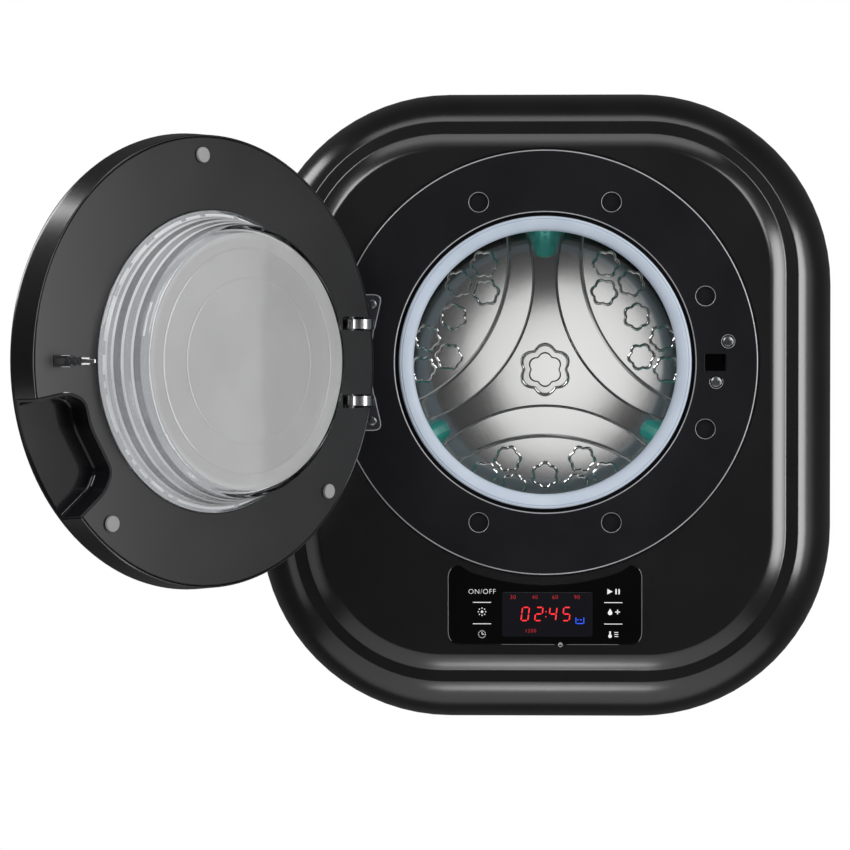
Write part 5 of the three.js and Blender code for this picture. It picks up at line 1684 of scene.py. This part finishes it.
        # Painted shade on every other band of the wall, and a painted highlight on its steps.
        paint(bowl, PAINTED_SHADE_GLASS, lambda c, n: on_wall(c, n, False))
        paint(bowl, PAINTED_HIGHLIGHT_GLASS, lambda c, n: on_wall(c, n, True))

    def _finger_cup(self) -> None:
        """The moulded finger recess, an open tray with rounded rim and a ridge."""
        outer = Bench.prism("finger_cup", rounded(shrunk(self.cup, 0.3), 8), 0.8, self.cup_floor)
        limit = Bench.lathe(
            "limit",
            [(0, self.cup_floor), (self.rim - 0.4, self.cup_floor), (self.radius - 0.2, 0.8),
             (0, 0.8)],
            steps=160,
            closed=False,
        )
        Bench.boolean(outer, [limit], "INTERSECT")
        hollow = Bench.prism("hollow", rounded(shrunk(self.cup, 2.5), 8), 3, self.cup_floor + 2.2)
        Bench.boolean(outer, [Bench.ease(hollow, 3, 4, 60)])
        Bench.ease(outer, 0.5, 3, 50)
        self.hang(outer, CUP, ["handle_cup"])

    def _pads(self) -> None:
        """Three rubber stops on the inner face."""
        profile = [(0, 0.3), (6, 0.3), (6.6, 0.9), (6.6, 2.6), (6.3, 3.2), (5.7, 3.5), (0, 3.5)]
        for i, angle in enumerate((84, -48.5, -138.4), 1):
            pad = Bench.lathe(f"door_stop_{i}", profile, polar(175, angle), 32, closed=False)
            self.hang(pad, PAD_RUBBER, [f"door_pad_{i}"])

    def _latch(self) -> None:
        """The latch's frame in the door, and the hook that pivots in it."""
        base = Bench.block("latch_frame", (153.9, -16, -4.3), (172.3, 0.7, 4.3))
        Bench.boolean(base, [Bench.block("cutter", (155.1, -14.4, -3.2), (171.1, 4, 3.2))])
        Bench.ease(base, 0.25, 2)
        self.hang(base, BLACK_PLASTIC, ["latch_base"])
        outline = [(161.4, -13.6, 0), (169.6, -13.6, 2), (169.6, -5, 2), (162.9, 1, 1.5),
                   (162.6, 22, 0.6), (164.8, 24.4, 0.5), (163.6, 28, 0.6), (160.4, 35, 0.8),
                   (158.2, 35, 0.8), (156.2, 22, 2)]
        blade = Bench.prism("latch_blade", rounded(outline, 4), -2.8, 2.8, Carried.ALONG_Z)
        Bench.boolean(blade, [
            Bench.block("cutter", (150, 25, 1.5), (170, 40, 6)),
            Bench.block("cutter", (150, 25, -6), (170, 40, -1.5)),
        ])
        Bench.ease(blade, 0.35, 3)
        knob = [(0, 1.8), (3.1, 1.8), (3.7, 2.4), (3.7, 8), (3.2, 8.4), (3.2, 9.4), (3.7, 9.8),
                (3.7, 15.2), (3.2, 15.6), (3.2, 16.6), (3.7, 17), (3.7, 20.4), (3.1, 21), (0, 21)]
        sleeve = Bench.lathe("sleeve", knob, (159.6, 0), 32, closed=False)
        axle = Bench.rod("axle", 1.3, -4.1, 4.1, (166, -10), 24, Carried.ALONG_Z)
        hook = Bench.unite("latch_blade", [blade, sleeve, axle])
        self.hang(hook, CHROME, ["latch_hook"], body="latch")
        back = door_place().inverted()
        paint(hook, GUNMETAL, lambda c, n: (back @ c).y < 21.5 * MM)


# ---------------------------------------------------------------- fittings


@dataclass
class Fittings:
    """What leaves the cabinet: detergent tray and lid on top, drain spigot and gland below.

    Attributes:
        tray_half: Half of the tray's width.
        tray_back: Back of the tray.
        tray_front: Front of the tray.
        tray_top: Top of the tray's flange.
        lid_top: Top of the lid.
    """

    tray_half: float = 70
    tray_back: float = -40.2
    tray_front: float = -101
    tray_top: float = 293.7
    lid_top: float = 297

    def build(self) -> None:
        """Builds all of it."""
        self._tray()
        self._lid()
        self._spigot()
        self._gland()

    def _tray(self) -> None:
        """The two-cup detergent tray."""
        w, b, f, t = self.tray_half, self.tray_back, self.tray_front, self.tray_top
        tub = Bench.block("soap_tray", (-w, f, 238), (w, b - 2.4, t))
        flange = Bench.block("flange", (-w - 5, f - 5, t - 3), (w + 5, b + 2.4, t))
        Bench.boolean(tub, [flange], "UNION")
        cups = []
        for x0, x1 in ((-w + 2, -2), (2, w - 2)):
            cup = Bench.block("cutter", (x0, f + 2, 240.5), (x1, b - 4.4, t + 4))
            cups.append(Bench.ease(cup, 4, 4))
        groove = Bench.block("cutter", (-w + 0.5, b - 2.3, t - 6), (w - 0.5, b + 3, t + 1))
        Bench.boolean(tub, [*cups, groove])
        Bench.ease(tub, 0.5, 2)
        finish_piece(tub, TUB, "cabinet", ["detergent_tray"])

    def _lid(self) -> None:
        """The lid over the tray, with a finger hollow at its front edge."""
        w, f, t = self.tray_half, self.tray_front, self.lid_top
        lid = Bench.block("soap_lid", (-w - 2, f - 2, t - 3), (w + 2, -40.4, t))
        grip = Bench.spindle("cutter", [(0, t - 2), (14, t - 2), (16, t + 2), (0, t + 2)],
                             (0, f - 11), 64, closed=False)
        Bench.boolean(lid, [grip])
        Bench.ease(lid, 0.7, 3)
        edge = arc(self.tray_back, t - 1.5, 1.5, 0, 345, 23)
        roll = Bench.prism("roll", edge, -w - 2, w + 2, Carried.ALONG_X)
        lid = Bench.unite("soap_lid", [lid, roll])
        finish_piece(lid, HOUSING, "detergent_flap", ["detergent_lid"])

    def _spigot(self) -> None:
        """The barbed drain spigot."""
        profile = [(6, -258.2), (9, -258.2), (9, -286), (14, -286), (14, -290.4), (9, -290.4),
                   (9, -291), (8.6, -291.4), (9, -294), (8.4, -294.6), (8.9, -297.4), (8.2, -299.6),
                   (7.8, -300), (6.4, -300), (6, -299.6)]
        spigot = Bench.spindle("drain_end", profile, (104, -88), 48)
        finish_piece(spigot, HOUSING, "cabinet", ["drain_spigot"])

    def _gland(self) -> None:
        """The rubber gland for the supply cord."""
        profile = [(4.4, -286), (9, -286), (9, -288), (12.4, -288), (13, -288.6), (13, -293.2),
                   (12.4, -293.7), (9, -293.9), (8.6, -296), (8.2, -298.4), (7.6, -299),
                   (5, -299), (4.4, -298.4)]
        gland = Bench.spindle("cord_gland", profile, (20, -60), 48)
        finish_piece(gland, BLACK_RUBBER, "cabinet", ["cable_gland"])


# ---------------------------------------------------------------- inner parts and studio


class InnerParts:
    """The inner nodes keep the shape of their solids and get their finishes here."""

    finishes: dict[str, Finish] = {
        finish.slot: finish
        for finish in (BLACK_PLASTIC, STEEL, TUB, BLACK_RUBBER, PAD_RUBBER, ZINC, HOUSING, BOARD,
                       ALUMINIUM)
    }

    def dress(self) -> None:
        """Gives each CAD node whose slot has a finish here that finish."""
        slots = {p["node"]: p["material_slot"] for p in frame["record"]["subparts"]}
        for name, node in frame["nodes"].items():
            finish = self.finishes.get(slots[name])
            if finish is None or node.type != "MESH":
                continue
            if not node.material_slots:
                node.data.materials.append(finish.material())
            for holder in node.material_slots:
                holder.material = finish.material()
            log.info("%s keeps its solid", name)


@dataclass
class Studio:
    """Camera, lamps, world and floor.

    Attributes:
        focal_px: Focal length in pixels of the frame.
        frame_px: Width and height of the frame in pixels.
        distance: Distance of the lens from the wall, in metres.
        height: Height of the lens, in metres.
        shift: The camera's shift, in frames.
        principal: Where the lens looks straight ahead, from the frame's middle, in pixels.
    """

    focal_px: float = 2000
    frame_px: float = 850
    distance: float = 2.125
    height: float = 0.0345
    shift: Point = (-0.1, -0.032)
    principal: Point = (120, 55)

    def build(self) -> None:
        """Sets up the studio."""
        self._camera()
        self._lamps()
        self._world()
        self._floor()

    def _camera(self) -> None:
        """A camera square to the front, with a little turn and a little shift for the framing."""
        data = bpy.data.cameras.new("photo_camera")
        data.sensor_width = 36
        data.lens = 36 * self.focal_px / self.frame_px
        data.shift_x, data.shift_y = self.shift
        camera = bpy.data.objects.new("photo_camera", data)
        bpy.context.scene.collection.objects.link(camera)
        turn = math.atan((self.principal[0] + self.shift[0] * self.frame_px) / self.focal_px)
        tip = math.atan((self.principal[1] + self.shift[1] * self.frame_px) / self.focal_px)
        camera.location = (0, -self.distance, self.height)
        camera.rotation_euler = (math.pi / 2 - tip, 0, turn)
        bpy.context.scene.camera = camera

    def _lamp(
        self, name: str, place: Place, aim: Place, size: Point, watts: float,
        shape: str = "RECTANGLE",
    ) -> None:
        """One soft lamp.

        Args:
            name: Name of the lamp.
            place: Where it stands, in metres.
            aim: What it points at.
            size: Width and height, in metres; on an upright lamp the height is along Z.
            watts: Its power.
            shape: RECTANGLE, ELLIPSE or DISK.
        """
        data = bpy.data.lights.new(name, "AREA")
        data.shape = shape
        data.size, data.size_y = size
        data.energy = watts
        lamp = bpy.data.objects.new(name, data)
        bpy.context.scene.collection.objects.link(lamp)
        lamp.location = place
        way = Vector(aim) - Vector(place)
        lamp.rotation_euler = way.to_track_quat("-Z", "Y").to_euler()
        lamp.visible_camera = False

    def _lamps(self) -> None:
        """Soft strips round the cabinet's edges, two front lamps, and two discs at the lens."""
        middle = (0, -0.2, 0.02)
        self._lamp("right_strip", (1.5, -0.98, 0.0), (0, -0.98, 0.0), (0.5, 1.2), 14)
        self._lamp("right_fill", (1.55, -0.5, 0.0), (0, -0.5, 0.0), (0.4, 1.2), 0.8)
        self._lamp("left_high", (-1.45, 0.08, 0.9), (0, 0.08, 0.9), (0.6, 1.1), 11)
        self._lamp("left_low", (-1.45, -0.85, -0.55), (0, -0.85, -0.55), (0.5, 0.7), 0.7)
        self._lamp("top_strip", (0.0, -0.8, 1.5), (0, -0.8, 0), (1.9, 0.4), 4.2)
        self._lamp("low_strip", (0.0, -0.68, -1.2), (0, -0.68, 0), (0.45, 0.15), 1.0, "ELLIPSE")
        self._lamp("left_key", (-1.5, -2.3, 1.3), middle, (1.1, 1.1), 25)
        self._lamp("right_key", (1.5, -2.3, 1.1), middle, (1.1, 1.1), 15)
        self._lamp("lens_disc", (0.03, -2.6, 0.04), (0, 0, 0.035), (0.29, 0.29), 0.21, "DISK")
        self._lamp("lens_glow", (0.03, -2.62, 0.04), (0, 0, 0.035), (0.76, 0.76), 0.03, "DISK")

    def _world(self) -> None:
        """White to the lens and through glass, nearly dark in mirrors, soft on matt faces."""
        world = bpy.data.worlds.new("studio")
        bpy.context.scene.world = world
        world.use_nodes = True
        tree = world.node_tree
        rays = shader_node(tree, "LightPath").outputs
        where = shader_node(tree, "TexCoord").outputs["Generated"]
        way = {
            "Value": shader_node(tree, "SeparateXYZ", {"Vector": where}).outputs["Y"],
            "From Min": 0.2,
            "From Max": 0.8,
            "To Min": 0.03,
            "To Max": 0.08,
        }
        behind = shader_node(tree, "MapRange", way, interpolation_type="SMOOTHSTEP")

        def maths(operation: str, *inputs: object) -> bpy.types.NodeSocket:
            """The result of an operation on sockets and numbers."""
            node = shader_node(tree, "Math", dict(enumerate(inputs)), operation=operation)
            return node.outputs["Value"]

        mirrored = maths("MULTIPLY", rays["Is Glossy Ray"], behind.outputs["Result"])
        seen = maths("MAXIMUM", rays["Is Camera Ray"], rays["Is Transmission Ray"])
        both = maths("MAXIMUM", seen, mirrored)
        level = maths("MULTIPLY_ADD", rays["Is Diffuse Ray"], 0.35, both)
        feed(tree, tree.nodes["Background"], {"Strength": level, "Color": (1, 1, 1, 1)})

    def _floor(self) -> None:
        """A pale floor well below the machine, as under a wall."""
        Bench.rest()
        bpy.ops.mesh.primitive_plane_add(size=3.4, location=(0, -1.7, -1.6))
        floor = bpy.context.object
        floor.name = "studio_floor"
        bpy.ops.object.transform_apply(location=True, rotation=True, scale=True)
        floor.data.materials.append(FLOOR.material())


def main() -> None:
    """Builds every sub-assembly in its order and reports it."""
    logging.basicConfig(level=logging.INFO, format="%(name)s: %(message)s", stream=sys.stdout)
    scene = bpy.context.scene
    scene.view_settings.view_transform = "Standard"
    for assembly in (Cabinet(), ControlPanel(), DoorSeat(), Drum(), Door(), Fittings()):
        assembly.build()
        log.info("%s is built", type(assembly).__name__)
    InnerParts().dress()
    Studio().build()
    Bench.rest()


if __name__ == "__main__":
    main()
